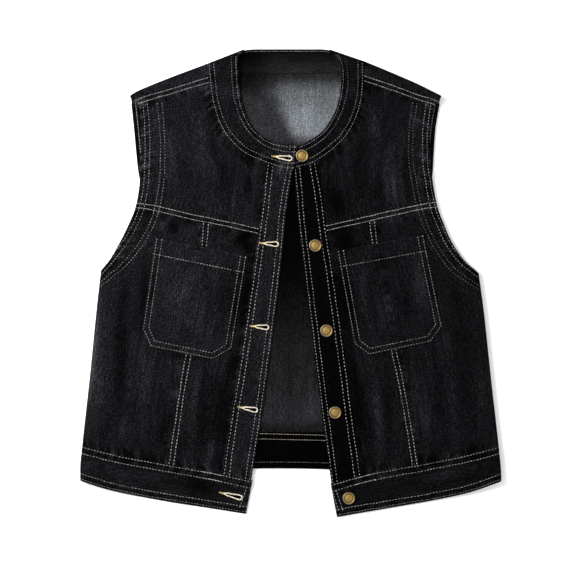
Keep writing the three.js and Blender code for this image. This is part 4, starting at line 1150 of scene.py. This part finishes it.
def neckband():
    cross = stops(32, 1.5)[:, None]
    parts = []
    for front in FRONTS:
        lifted = front["side"] < 0
        share = np.linspace(0, 1, 190)
        start, end = at(front["neck_outer"], share), at(front["neck_inner"], share)
        plan = start[None] + (end - start)[None] * cross[..., None]
        x, y = plan[..., 0], plan[..., 1]
        width = np.linalg.norm(end - start, axis=1)[None, :]
        height = drape(x, y) + (neck_lift(x, y) if lifted else 0)
        height = height + rounded(np.abs(x - start[0, 0]), 1.2) * (x > 0) * lifted
        relief = neck_relief(cross * width, width)
        outward = outward_of(np.array([start[-1], end[-1]]))
        line = start[-1][None] + (end[-1] - start[-1])[None] * cross
        ring_out, ring_in = over_fold(line, outward, FOLDED, FOLD_STEPS)
        outer = np.concatenate([ring_out[:-1].transpose(1, 0, 2),
                                with_height(plan, height + FOLDED + relief)[:, -2::-1]], axis=1)
        inner = np.concatenate([ring_in[:-1].transpose(1, 0, 2),
                                with_height(plan, height)[:, -2::-1]], axis=1)
        parts.append((outer, inner))
    share = np.linspace(0, 1, 90)[1:-1]
    start, end = at(neck_seam, share), at(neck_edge, share)
    plan = start[None] + (end - start)[None] * cross[..., None]
    width = np.linalg.norm(end - start, axis=1)[None, :]
    outer = with_height(plan, np.zeros(plan.shape[:2]))
    inner = with_height(plan, FOLDED + neck_relief(cross * width, width))
    outer = np.concatenate([parts[0][0][:, ::-1], outer, parts[1][0]], axis=1)
    inner = np.concatenate([parts[0][1][:, ::-1], inner, parts[1][1]], axis=1)
    edges = [front[key][::4] for front in FRONTS for key in ("neck_outer", "neck_inner")] + [neck_edge[::4]]
    piece = shell("neckband", outer, inner, [band_denim], BAND_TONE, edges)
    behind = np.zeros(outer.shape[:2], bool)
    behind[:, parts[0][0].shape[1]:parts[0][0].shape[1] + len(share)] = True
    x, y = (np.tile(outer[..., k].ravel(), 2) for k in (0, 1))
    shade = 0.24 * ease(301, 277, y) - 0.06 - 0.24 * ease(-14, -60, x)
    given = np.zeros(len(x), np.float32)
    piece.data.attributes["wash_and_shade"].data.foreach_get("value", given)
    shade = np.where(np.tile(behind.ravel(), 2), shade, given)
    piece.data.attributes["wash_and_shade"].data.foreach_set("value", shade.astype(np.float32))
    piece.data.materials.append(shaded_side)
    corner, start = np.zeros(len(piece.data.loops), np.int32), np.zeros(len(piece.data.polygons), np.int32)
    piece.data.loops.foreach_get("vertex_index", corner)
    piece.data.polygons.foreach_get("loop_start", start)
    inside_out = np.tile(behind.ravel(), 2)[corner[start]]
    piece.data.polygons.foreach_set("material_index", inside_out.astype(np.int32))
    declare(piece, outer, inner, ["neckband"], "band_denim", ["back_panel"])


neckband()


def top_of_band(front):
    """The height of the neckband's top, on one front."""
    def top(x, y):
        low, high = off(front, "neck_outer", x, y), off(front, "neck_inner", x, y)
        lift = neck_lift(x, y) if front["side"] < 0 else 0
        return drape(x, y) + FOLDED + neck_relief(low, low + high) + lift
    return top


for front in FRONTS:
    surface[f"neckband_{front['name']}"] = top_of_band(front)

# %% [markdown]
# ## Topstitching
# Every seam carries twin rows of heavy off-white thread about 6 mm apart. A row is a seam line moved
# over by its distance and laid on the cloth, and Geometry Nodes sets a short bowed stitch at each pitch
# along it.
# %% Rows: a seam line moved over, cut to the piece that it runs on
def beside(run, distance):
    """A run moved sideways by one distance or one a point: to its left above 0, with mitred corners."""
    normal = left_of(unit(np.diff(run, axis=0)))
    first, last = np.vstack([normal[:1], normal]), np.vstack([normal, normal[-1:]])
    mitre = first + last
    mitre = mitre / np.maximum((mitre * mitre).sum(1), 0.2)[:, None] * 2
    return run + mitre * np.reshape(distance, (-1, 1))


def resampled(run, step):
    """A run with points a step apart."""
    return at(run, np.linspace(0, 1, max(2, round(tape(run)[-1] / step))))


def inside(outline, points):
    """Which points lie inside a closed outline."""
    a, b = outline, np.roll(outline, -1, axis=0)
    x, y = points[:, :1], points[:, 1:]
    between = (a[:, 1] > y) != (b[:, 1] > y)
    rise = np.where(b[:, 1] == a[:, 1], 1, b[:, 1] - a[:, 1])
    cross = a[:, 0] + (y - a[:, 1]) * (b[:, 0] - a[:, 0]) / rise
    return (between & (x < cross)).sum(1) % 2 == 1


def spans(run, keep):
    """The stretches of a run that are kept."""
    edge = np.flatnonzero(np.diff(np.concatenate([[0], keep.astype(int), [0]])))
    return [run[a:b] for a, b in zip(edge[::2], edge[1::2]) if b - a > 4]


OUTLINES = {
    "front_side": [("waist_top", 0, "waist_at_panel"), ("panel_seam", 0, 1),
                   ("yoke_seam", "yoke_at_panel", 0), ("front_armhole", "armhole_at_yoke", 1),
                   ("side_fold", 0, "fold_at_waist")],
    "front_centre": [("waist_top", "waist_at_panel", "waist_at_placket"),
                     ("placket_inner", 0, "placket_at_yoke"), ("yoke_seam", 1, "yoke_at_panel"),
                     ("panel_seam", 1, 0)],
    "front_yoke": [("yoke_seam", 0, 1), ("placket_inner", "placket_at_yoke", 1),
                   ("neck_outer", "neck_at_placket", "neck_at_seam"), ("shoulder_seam", 0, 1),
                   ("front_armhole", 0, "armhole_at_yoke")],
    "placket": [("waist_top", "waist_at_placket", "waist_at_centre"), ("centre_edge", 0, 1),
                ("neck_outer", "neck_at_centre", "neck_at_placket"), ("placket_inner", 1, 0)],
    "front_waistband": [("hem", 0, 1), ("waist_top", 1, 0), ("side_fold", "fold_at_waist", 1)],
    "neckband": [("neck_outer", 0, 1), ("neck_inner", 1, 0)],
    "back_shoulder": [("shoulder_seam", 0, 1), ("shoulder_fold", 1, 0),
                      ("neck_outer", 1, "neck_at_seam")],
}  # the curves round each piece, with the shares between which they run
for front in FRONTS:
    front["outlines"] = {
        piece: np.vstack([cut(front, *curve)(np.linspace(0, 1, 40)) for curve in curves])
        for piece, curves in OUTLINES.items()}
rows = {}


def sew(group, front, piece, run, distance, extend=12, shorten=0.8):
    """Adds a row beside a seam, where it crosses a piece, lying on that piece."""
    ends = [run[0] + unit(run[0] - run[1]) * extend, run[-1] + unit(run[-1] - run[-2]) * extend]
    if np.size(distance) > 1:
        distance = np.interp(tape(run) / tape(run)[-1], (0, 1), distance)
        distance = np.concatenate([distance[:1], distance, distance[-1:]])
    line = resampled(beside(np.vstack([ends[0], run, ends[1]]), distance), 0.8)
    line = beside(line, 0.35 * uneven(tape(line), 22, len(rows) + round(abs(np.mean(distance)))))
    outline = front["outlines"][piece]
    to_edge = gap_to(np.vstack([outline, outline[:1]]), line[:, 0], line[:, 1])[0]
    top = surface[f"{piece}_{front['name']}"]
    for part in spans(line, inside(outline, line) & (to_edge > shorten)):
        x, y = part[:, 0], part[:, 1]
        height = top(x, y)
        fold = np.minimum(off(front, "side_fold", x, y), off(front, "shoulder_run", x, y, 1))
        bend = np.clip(1 - fold / fold_radius(FOLDED), 0, 1)
        height = height * (0.5 + 0.5 * np.sqrt(1 - bend**2))
        rows.setdefault(group, []).append(with_height(part, height))


def towards(run, share, end):
    """A run that leaves its path after a share of it, for another end."""
    return smooth(np.vstack([at(run, np.linspace(0, share, 13)), end]))


def lay(group, line, top):
    """Adds a row along a line drawn in plan, lying on a surface."""
    line = resampled(np.array(line, float), 0.8)
    rows.setdefault(group, []).append(with_height(line, top(line[:, 0], line[:, 1])))


ARMHOLE_ROWS = {
    -1: [("armhole", 4.4, 0.5, 0.6), ("armhole", 10.4, 8.0, 0.6),
         ("armhole_inner", 23.4, 17.2, 1), ("armhole_inner", 29.2, 23.3, 1)],
    1: [("armhole", 4.4, 0.5, 0.45), ("armhole", 10.4, 8.0, 0.45),
        ("armhole_sunk", 23.4, 18.6, 1), ("armhole_sunk", 29.2, 24.3, 1)],
}  # group, distance, where it ends down the side fold, share of the drift
ARMHOLE_DRIFT = {
    -1: [(0, -0.6), (0.12, 0.5), (0.23, 2.2), (0.33, 2.9), (0.42, 2.6), (0.49, 1.7), (0.57, 0.9),
         (0.64, 0.9), (0.68, 0.7), (0.71, 0.3), (0.74, -0.4), (0.78, -1.5), (0.81, -2.6), (0.84, -4.1),
         (0.88, -5.9), (1, -8)],
    1: [(0, -2.6), (0.1, -2.0), (0.17, -0.5), (0.3, -0.7), (0.4, -2.0), (0.5, -3.1), (0.65, -3.5),
        (0.72, -4.2), (0.8, -5.9), (0.86, -6.6), (1, -6.6)],
}  # share of the armhole from the shoulder, how much further in
SEWN_TWICE = {-1: (-114, -90), 1: (82, 109)}  # where the waistband's rows start again, along X
for front in FRONTS:
    s = front["side"]
    for d in (NEAR_ROW, FAR_ROW):
        sew("yoke", front, "front_yoke", front["yoke_seam"], -s * d)
        sew("shoulder", front, "back_shoulder", front["shoulder_seam"], s * d)
        drift = (2.0, 1.8) if s < 0 else (0, 0)
        sew("panel", front, "front_centre", front["panel_seam"], [s * d + s * more for more in drift])
        sew("centre", front, "placket", front["centre_edge"], -s * d)
    for ends in ((3.6, 2.9), (10.1, 8.7)) if s < 0 else ((2.0, 2.2), (8.8, 8.8)):
        sew("placket", front, "placket", front["placket_inner"], [s * d for d in ends])
    for d in (2.3, 10.1):
        sew("waist", front, "front_waistband", front["waist_top"], s * d)
        twice = beside(resampled(front["waist_top"], 2), s * d)
        twice = twice[(twice[:, 0] > SEWN_TWICE[s][0]) & (twice[:, 0] < SEWN_TWICE[s][1])]
        sew("waist_twice", front, "front_waistband", twice, 0, extend=0.5)
    sew("waist", front, "front_waistband", front["hem"], -s * 9.6)
    sew("hem", front, "front_waistband", front["hem"], -s * 2.8)
    for group, d, foot_at, share in ARMHOLE_ROWS[s]:
        run = resampled(front["front_armhole"], 3)
        drift = np.interp(tape(run) / tape(run)[-1], *np.array(ARMHOLE_DRIFT[s]).T)
        foot = at(front["side_fold"], foot_at / tape(front["side_fold"])[-1])
        run = towards(beside(run, -s * np.maximum(d + share * drift, 1)), 0.9, foot)
        sew(group, front, "front_yoke", run, 0, extend=0.5)
        sew(group, front, "front_side", run, 0, extend=0.5)
    for d in NECK_ROWS:
        sew("neck", front, "neckband", front["neck_outer"], s * d, extend=2)
        sew("neck", front, "neckband", front["neck_inner"], -s * d, extend=2)


POCKET_ROWS = (1.6, 8.2)
FROM_MOUTH = 1.5
for front in FRONTS:
    s, name = front["side"], front["name"]
    top = surface[f"pocket_{name}"]
    outline = front["pocket"] + (0.35 * (1 - s), 0)
    mouth = unit(outline[-1] - outline[0])
    near, far = (beside(outline, -s * d) for d in POCKET_ROWS)
    for line in (near, far):
        line[0] += unit(line[1] - line[0]) * FROM_MOUTH
        line[-1] += unit(line[-2] - line[-1]) * FROM_MOUTH
        lay("pocket", line, top)
    lay("pocket", [near[0], far[0]], top)
    lay("pocket", [near[-1], far[-1]], top)
    down = left_of(mouth) * s * (POCKET_HEM - FROM_MOUTH)
    lay("pocket_mouth", [near[0] + down, near[-1] + down], top)

right = FRONTS[0]
end_low, end_high = right["neck_outer"][0], right["neck_inner"][0]
for d in NECK_ROWS:
    lay("neck", [end_low + (-d, 1.5), end_high + (-d, -1.5)], surface["neckband_right"])
for front, ends in zip(FRONTS, ((7.6,), (2.0, 7.6))):
    s = front["side"]
    low, high = front["hem"][-1], front["waist_top"][-1]
    for d in ends:
        lay("waist", [low + (s * d, 9.6), high + (s * d, -9.0)], surface[f"front_waistband_{front['name']}"])
    facing_row = beside(at(front["back_armhole"], np.linspace(0.03, 0.34, 30)), -s * 6.4)
    lay("facing", facing_row, surface[f"armhole_facing_{front['name']}"])
flat_band = surface["back_waistband_band"]
for d in (2.4, 9.2):
    line = beside(band_top, -d - np.interp(band_top[:, 0], (-50, 40), (-0.6, 1.4)))
    lay("inside", line[np.abs(line[:, 0]) < 75], flat_band)
line = beside(band_hem, 8.3)
lay("inside_hem", line[np.abs(line[:, 0]) < 75], flat_band)
lay("neck_behind", beside(neck_edge, -2.8), lambda x, y: np.full(np.shape(x), FOLDED))

# %% How much thread each group of rows takes
for group, found in rows.items():
    print(group, round(sum(tape(run)[-1] for run in found) / 1000, 2), "m of stitching")

# %% [markdown]
# ## Stitches by Geometry Nodes
# The tree turns each row into points a pitch apart and sets a bowed stitch at each, its ends drawn into
# the cloth. The same tree makes the satin of the buttonholes by turning the stitch across its path.
# %% The stitch tree
STITCH_INPUTS = [
    ("Rows", "NodeSocketGeometry"), ("Pitch", "NodeSocketFloat"), ("Length", "NodeSocketFloat"),
    ("Thickness", "NodeSocketFloat"), ("Bow", "NodeSocketFloat"), ("Direction", "NodeSocketVector"),
    ("Seed", "NodeSocketInt"), ("Thread", "NodeSocketMaterial"),
]


def scaled(tree, vector, by):
    """A vector times a number."""
    return add(tree, "ShaderNodeVectorMath", {0: vector, "Scale": by}, operation="SCALE").outputs[0]


def stitch_tree():
    """A group that sets a bowed stitch at each pitch along its rows."""
    tree = bpy.data.node_groups.new("stitches_along_rows", "GeometryNodeTree")
    for name, kind in STITCH_INPUTS:
        tree.interface.new_socket(name=name, in_out="INPUT", socket_type=kind)
    tree.interface.new_socket(name="Stitches", in_out="OUTPUT", socket_type="NodeSocketGeometry")
    given = add(tree, "NodeGroupInput").outputs
    half = sum_of(tree, "MULTIPLY", given["Length"], 0.5)
    reach = scaled(tree, given["Direction"], half)
    bow = add(tree, "ShaderNodeCombineXYZ", {"Z": given["Bow"]}).outputs[0]
    dive = scaled(tree, bow, -0.6)
    start, end = (
        add(tree, "ShaderNodeVectorMath", {0: side, 1: dive}, operation="ADD").outputs[0]
        for side in (reach, scaled(tree, reach, -1.0)))
    middle = scaled(tree, bow, 1.4)
    arc = add(tree, "GeometryNodeCurveQuadraticBezier",
              {"Resolution": 4, "Start": start, "Middle": middle, "End": end}).outputs[0]
    ring = add(tree, "GeometryNodeCurvePrimitiveCircle", {"Resolution": 6, "Radius": given["Thickness"]})
    stitch = add(tree, "GeometryNodeCurveToMesh",
                 {"Curve": arc, "Profile Curve": ring.outputs[0], "Fill Caps": True}).outputs[0]
    points = add(tree, "GeometryNodeCurveToPoints", {"Curve": given["Rows"], "Length": given["Pitch"]},
                 mode="LENGTH").outputs
    along = add(tree, "FunctionNodeAlignRotationToVector", {"Vector": points["Tangent"]}, axis="X")
    upright = add(tree, "FunctionNodeAlignRotationToVector",
                  {"Rotation": along.outputs[0], "Vector": (0.0, 0.0, 1.0)}, axis="Z", pivot_axis="X")
    size = add(tree, "FunctionNodeRandomValue",
               {"Min": (0.86, 0.9, 0.9), "Max": (1.08, 1.1, 1.1), "Seed": given["Seed"]},
               data_type="FLOAT_VECTOR").outputs[0]
    width = add(tree, "GeometryNodeInputRadius").outputs[0]
    size = scaled(tree, size, width)
    placed = add(tree, "GeometryNodeInstanceOnPoints",
                 {"Points": points["Points"], "Instance": stitch, "Rotation": upright.outputs[0],
                  "Scale": size}).outputs[0]
    solid = add(tree, "GeometryNodeRealizeInstances", {"Geometry": placed}).outputs[0]
    finished = add(tree, "GeometryNodeSetMaterial", {"Geometry": solid, "Material": given["Thread"]})
    add(tree, "NodeGroupOutput", {"Stitches": finished.outputs[0]})
    return tree


# %% Thread
def thread(name, pale, shade):
    """Spun polyester-wrapped cotton thread: two plies, matt, a little uneven in tone."""
    material, tree, shader = blank(name, {"Roughness": 0.75, "Specular IOR Level": 0.3})
    place = add(tree, "ShaderNodeTexCoord").outputs["Object"]
    fuzz = add(tree, "ShaderNodeTexNoise", {"Vector": place, "Scale": 320.0, "Detail": 4.0}).outputs["Fac"]
    colours = ramp(tree, fuzz, [(0.36, shade), (0.64, pale)])
    bump = add(tree, "ShaderNodeBump", {"Height": fuzz, "Strength": 0.3, "Distance": 0.0001})
    feed(shader, {"Base Color": colours.outputs["Color"], "Normal": bump.outputs["Normal"]})
    return material


top_thread = thread("off_white_topstitch_thread", "#959492", "#434241")
bobbin_thread = thread("tan_bobbin_thread", "#8d857b", "#575049")
lip_twist = thread("cream_buttonhole_twist", "#d9d2c2", "#b5aa92")
tail_twist = thread("golden_bartack_twist", "#cbb489", "#ab925f")
stitches = stitch_tree()


def sewn(name, paths, pitch, length, thickness, bow, material, seed, direction=(1, 0, 0), taper=None):
    """A plain mesh of stitches along paths given in millimetres; taper gives their size along a path."""
    curve = bpy.data.curves.new(name + "_rows", "CURVE")
    curve.dimensions = "3D"
    for path in paths:
        spline = curve.splines.new("POLY")
        spline.points.add(len(path) - 1)
        line = np.column_stack([path * MM, np.ones(len(path))])
        spline.points.foreach_set("co", line.ravel())
        if taper:
            spline.points.foreach_set("radius", np.linspace(*taper, len(path)))
    carrier = put(name + "_rows", curve)
    modifier = carrier.modifiers.new("stitches", "NODES")
    modifier.node_group = stitches
    values = {"Pitch": pitch * MM, "Length": length * MM, "Thickness": thickness * MM, "Bow": bow * MM,
              "Direction": direction, "Seed": seed, "Thread": material}
    for socket in stitches.interface.items_tree:
        if socket.in_out == "INPUT" and socket.name in values:
            modifier[socket.identifier] = values[socket.name]
    bpy.context.view_layer.update()
    shown = carrier.evaluated_get(bpy.context.evaluated_depsgraph_get())
    mesh = bpy.data.meshes.new_from_object(shown)
    mesh.name = name
    mesh.polygons.foreach_set("use_smooth", np.ones(len(mesh.polygons), bool))
    bpy.data.objects.remove(carrier)
    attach(put(name, mesh), "root")
    print(f"{name}: {len(mesh.polygons)} faces")


SEWING = {
    "yoke": (3.8, 0.76, 0.4), "shoulder": (3.8, 0.78, 0.36), "panel": (4.4, 0.48, 0.46),
    "centre": (4.3, 0.44, 0.4), "placket": (4.7, 0.43, 0.44), "waist": (4.1, 0.56, 0.36),
    "hem": (3.7, 0.52, 0.26), "armhole": (3.9, 0.43, 0.34), "armhole_inner": (3.9, 0.42, 0.26),
    "armhole_sunk": (3.9, 0.4, 0.18), "neck": (3.6, 0.58, 0.28), "neck_behind": (3.6, 0.7, 0.22),
    "pocket": (3.8, 0.47, 0.3), "pocket_mouth": (3.8, 0.66, 0.38), "facing": (3.9, 0.7, 0.36),
    "waist_twice": (2.9, 0.85, 0.42), "inside": (3.6, 0.8, 0.32), "inside_hem": (3.6, 0.6, 0.16),
}  # pitch, share of it that shows, thread radius
for seed, (group, found) in enumerate(rows.items()):
    pitch, share, radius = SEWING[group]
    sewn(f"topstitch_{group}", found, pitch, share * pitch, radius, 0.35,
         bobbin_thread if group.startswith("inside") else top_thread, seed)

# %% [markdown]
# ## Buttonholes
# Five keyhole buttonholes lie across the right edge, longer than the buttons are wide: a tapered bar
# tack, two purled lips round the slit, and a round eye at the loop end, all in cream twist.
# %% Keyhole buttonholes: tail end, loop end and the piece that carries each
BUTTONHOLES = [
    ((-25.0, 164.9), (2.0, 161.3), "neckband_right"),
    ((-41.3, 52.1), (-15.5, 50.5), "placket_right"),
    ((-53.8, -55.4), (-28.1, -57.7), "placket_right"),
    ((-69.4, -160.6), (-42.6, -165.2), "placket_right"),
    ((-93.0, -271.5), (-62.8, -279.3), "front_waistband_right"),
]
TAIL = 8.0
LIP = 1.35
GAPE_AT_TAIL, GAPE_AT_EYE = 1.7, 2.9


def keyhole(length):
    """The centre line of the lips, with the tail at the left and the eye at the right."""
    eye = length - LIP / 2 - GAPE_AT_EYE
    t = np.linspace(TAIL - 1, eye, 24)
    gape = GAPE_AT_TAIL * ease(TAIL - 1.4, TAIL + 3, t)
    gape = gape + (GAPE_AT_EYE - GAPE_AT_TAIL) * ease(TAIL + 4, eye, t)
    turn = np.linspace(math.pi / 2, -math.pi / 2, 14)[1:-1]
    arc = np.stack([eye + GAPE_AT_EYE * np.cos(turn), GAPE_AT_EYE * np.sin(turn)], axis=1)
    return np.vstack([np.stack([t, gape], axis=1), arc, np.stack([t, -gape], axis=1)[::-1]])


slit = blank("shadow_in_buttonhole",
             {"Base Color": linear("#020202"), "Roughness": 1.0, "Specular IOR Level": 0.0})[0]
lips, tails = [], []
for number, (tail, eye, carrier) in enumerate(BUTTONHOLES, 1):
    tail, eye = np.array(tail), np.array(eye)
    length = np.linalg.norm(eye - tail)
    way = (eye - tail) / length
    frame_2d = np.array([way, left_of(way)])
    top = surface[carrier]
    on_cloth = lambda line: with_height(tail + line @ frame_2d, top(*(tail + line @ frame_2d).T))
    line = keyhole(length)
    lips.append(on_cloth(resampled(line, 0.5)) + (0, 0, 0.25))
    tails.append(on_cloth(resampled(np.array([(0.0, 0.0), (TAIL + 0.5, 0.0)]), 0.5)) + (0, 0, 0.25))
    hole = on_cloth(line * (1, 0.86)) + (0, 0, 0.16)
    half = len(hole) // 2
    quads = [(k, k + 1, len(hole) - 2 - k, len(hole) - 1 - k) for k in range(half - 1)]
    name = f"buttonhole_slit_{number}"
    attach(put(name, mesh_of(name, hole, quads, [slit], smooth=False)), "root")
sewn("buttonhole_lips", lips, 0.55, LIP, 0.25, 0.35, lip_twist, 41, direction=(0, 1, 0))
sewn("buttonhole_bartacks", tails, 0.5, 2.7, 0.25, 0.35, tail_twist, 42, direction=(0, 1, 0),
     taper=(0.5, 1.0))

# %% [markdown]
# ## Buttons
# Five brass tack buttons with a plain design: a rolled rim, a sunken ring and a low dome. Brass
# tarnishes in the ring and stays bright where it is rubbed, so an attribute tells the shader how deep
# each point lies.
# %% Brass, and the lathe profile: radius, height over the shank's foot, depth of tarnish
BUTTONS = [
    ((14.6, 165.3), "neckband_left"), ((31.7, 48.8), "placket_left"), ((46.3, -61.7), "placket_left"),
    ((57.5, -167.9), "placket_left"), ((75.3, -279.2), "front_waistband_left"),
]
PROFILE = [
    (0.0, 0.0, 1.0), (3.2, 0.0, 1.0), (3.2, 1.1, 1.0), (6.9, 1.15, 0.6), (7.6, 1.3, 0.2), (7.95, 1.7, 0.1),
    (8.0, 2.1, 0.0), (7.85, 2.5, 0.0), (7.5, 2.7, 0.0), (7.0, 2.72, 0.0), (6.5, 2.6, 0.12),
    (6.2, 2.4, 0.8), (5.9, 2.34, 1.0), (5.4, 2.4, 0.9), (4.9, 2.52, 0.7), (4.2, 2.68, 0.52),
    (3.4, 2.84, 0.45), (2.5, 2.97, 0.4), (1.4, 3.06, 0.4), (0.6, 3.09, 0.4), (0.0, 3.1, 0.4),
]
SEGMENTS = 64


def brass():
    material, tree, shader = blank("antique_brass", {"Metallic": 1.0})
    place = add(tree, "ShaderNodeTexCoord").outputs["Object"]
    mottle = add(tree, "ShaderNodeTexNoise", {"Vector": place, "Scale": 900.0, "Detail": 3.0}).outputs["Fac"]
    depth = add(tree, "ShaderNodeAttribute", attribute_name="tarnish").outputs["Fac"]
    dark = sum_of(tree, "MULTIPLY_ADD", sum_of(tree, "SUBTRACT", mottle, 0.5), 0.9, depth)
    colours = ramp(tree, dark, [(0.0, "#776a51"), (0.22, "#7f6d4a"), (0.42, "#8d7442"),
                                (0.75, "#6a5531"), (1.0, "#463719")])
    rough = add(tree, "ShaderNodeMapRange", {"Value": dark, "To Min": 0.42, "To Max": 0.65})
    feed(shader, {"Base Color": colours.outputs["Color"], "Roughness": rough.outputs["Result"]})
    return material


antique_brass = brass()
for number, ((x, y), carrier) in enumerate(BUTTONS, 1):
    around = np.array([(x + dx, y + dy) for dx in (-3.2, 0, 3.2) for dy in (-3.2, 0, 3.2)])
    foot = surface[carrier](around[:, 0], around[:, 1]).max()
    profile = np.array(PROFILE)
    turn = np.linspace(0, 2 * math.pi, SEGMENTS, endpoint=False)
    ring = profile[1:-1]
    points = np.stack([x + ring[:, :1] * np.cos(turn), y + ring[:, :1] * np.sin(turn),
                       np.repeat(foot + ring[:, 1:2], SEGMENTS, axis=1)], axis=2).reshape(-1, 3)
    points = np.vstack([points, [(x, y, foot), (x, y, foot + profile[-1, 1])]])
    index = np.arange(len(ring) * SEGMENTS).reshape(len(ring), SEGMENTS)
    after = np.roll(index, -1, axis=1)
    faces = np.stack([index[:-1], after[:-1], after[1:], index[1:]], axis=-1).reshape(-1, 4).tolist()
    faces += [(len(points) - 2, b, a) for a, b in zip(index[0], after[0])]
    faces += [(len(points) - 1, a, b) for a, b in zip(index[-1], after[-1])]
    name = f"tack_button_{number}"
    mesh = mesh_of(name, points, faces, [antique_brass])
    give(mesh, "tarnish", np.concatenate([np.repeat(ring[:, 2], SEGMENTS), [1.0, 0.0]]))
    mesh.set_sharp_from_angle(angle=math.radians(60))
    piece = put(name, mesh)
    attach(piece, "root")
    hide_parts(f"button_{number}")
print("buttons and buttonholes:", len(BUTTONS), len(BUTTONHOLES))

# %% [markdown]
# ## Floor, light and camera
# A pale table, a large soft key from the upper left and a weak fill give the even light of a catalogue
# picture. The camera looks straight down from three metres, so that the edges don't lean.
# %% Stage
def lamp(name, place, size, power):
    light = bpy.data.lights.new(name, "AREA")
    light.size = size
    light.energy = power
    holder = put(name, light)
    holder.location = place
    aim = -np.array(place) / np.linalg.norm(place)
    holder.rotation_euler = (math.acos(-aim[2]), 0, math.atan2(aim[1], aim[0]) - math.pi / 2)


FLOOR_HALF = 3000
paper = blank("white_paper", {"Base Color": linear("#f4f4f4"), "Roughness": 0.9})[0]
square = [(x * FLOOR_HALF, y * FLOOR_HALF, 0) for x, y in ((-1, -1), (1, -1), (1, 1), (-1, 1))]
floor = put("floor", mesh_of("floor", square, [(0, 1, 2, 3)], [paper], smooth=False))
floor.location.z = -0.0002
lamp("key", (-1.6, 0.75, 1.4), 0.7, 100)
lamp("fill", (1.2, -0.4, 1.8), 1.4, 8)
world = bpy.data.worlds.new("studio")
world.use_nodes = True
world.node_tree.nodes["Background"].inputs["Color"].default_value = linear("#ffffff")
world.node_tree.nodes["Background"].inputs["Strength"].default_value = 0.85
bpy.context.scene.world = world

FRAME_WIDTH = 0.7488
FRAME_CENTRE = (-0.0036, -0.0063)
CAMERA_HEIGHT = 3.0
SENSOR = 36
view = bpy.data.cameras.new("camera")
view.sensor_width = SENSOR
view.lens = SENSOR * CAMERA_HEIGHT / FRAME_WIDTH
camera = put("camera", view)
camera.location = (*FRAME_CENTRE, CAMERA_HEIGHT)
bpy.context.scene.camera = camera
bpy.context.scene.view_settings.view_transform = "Standard"
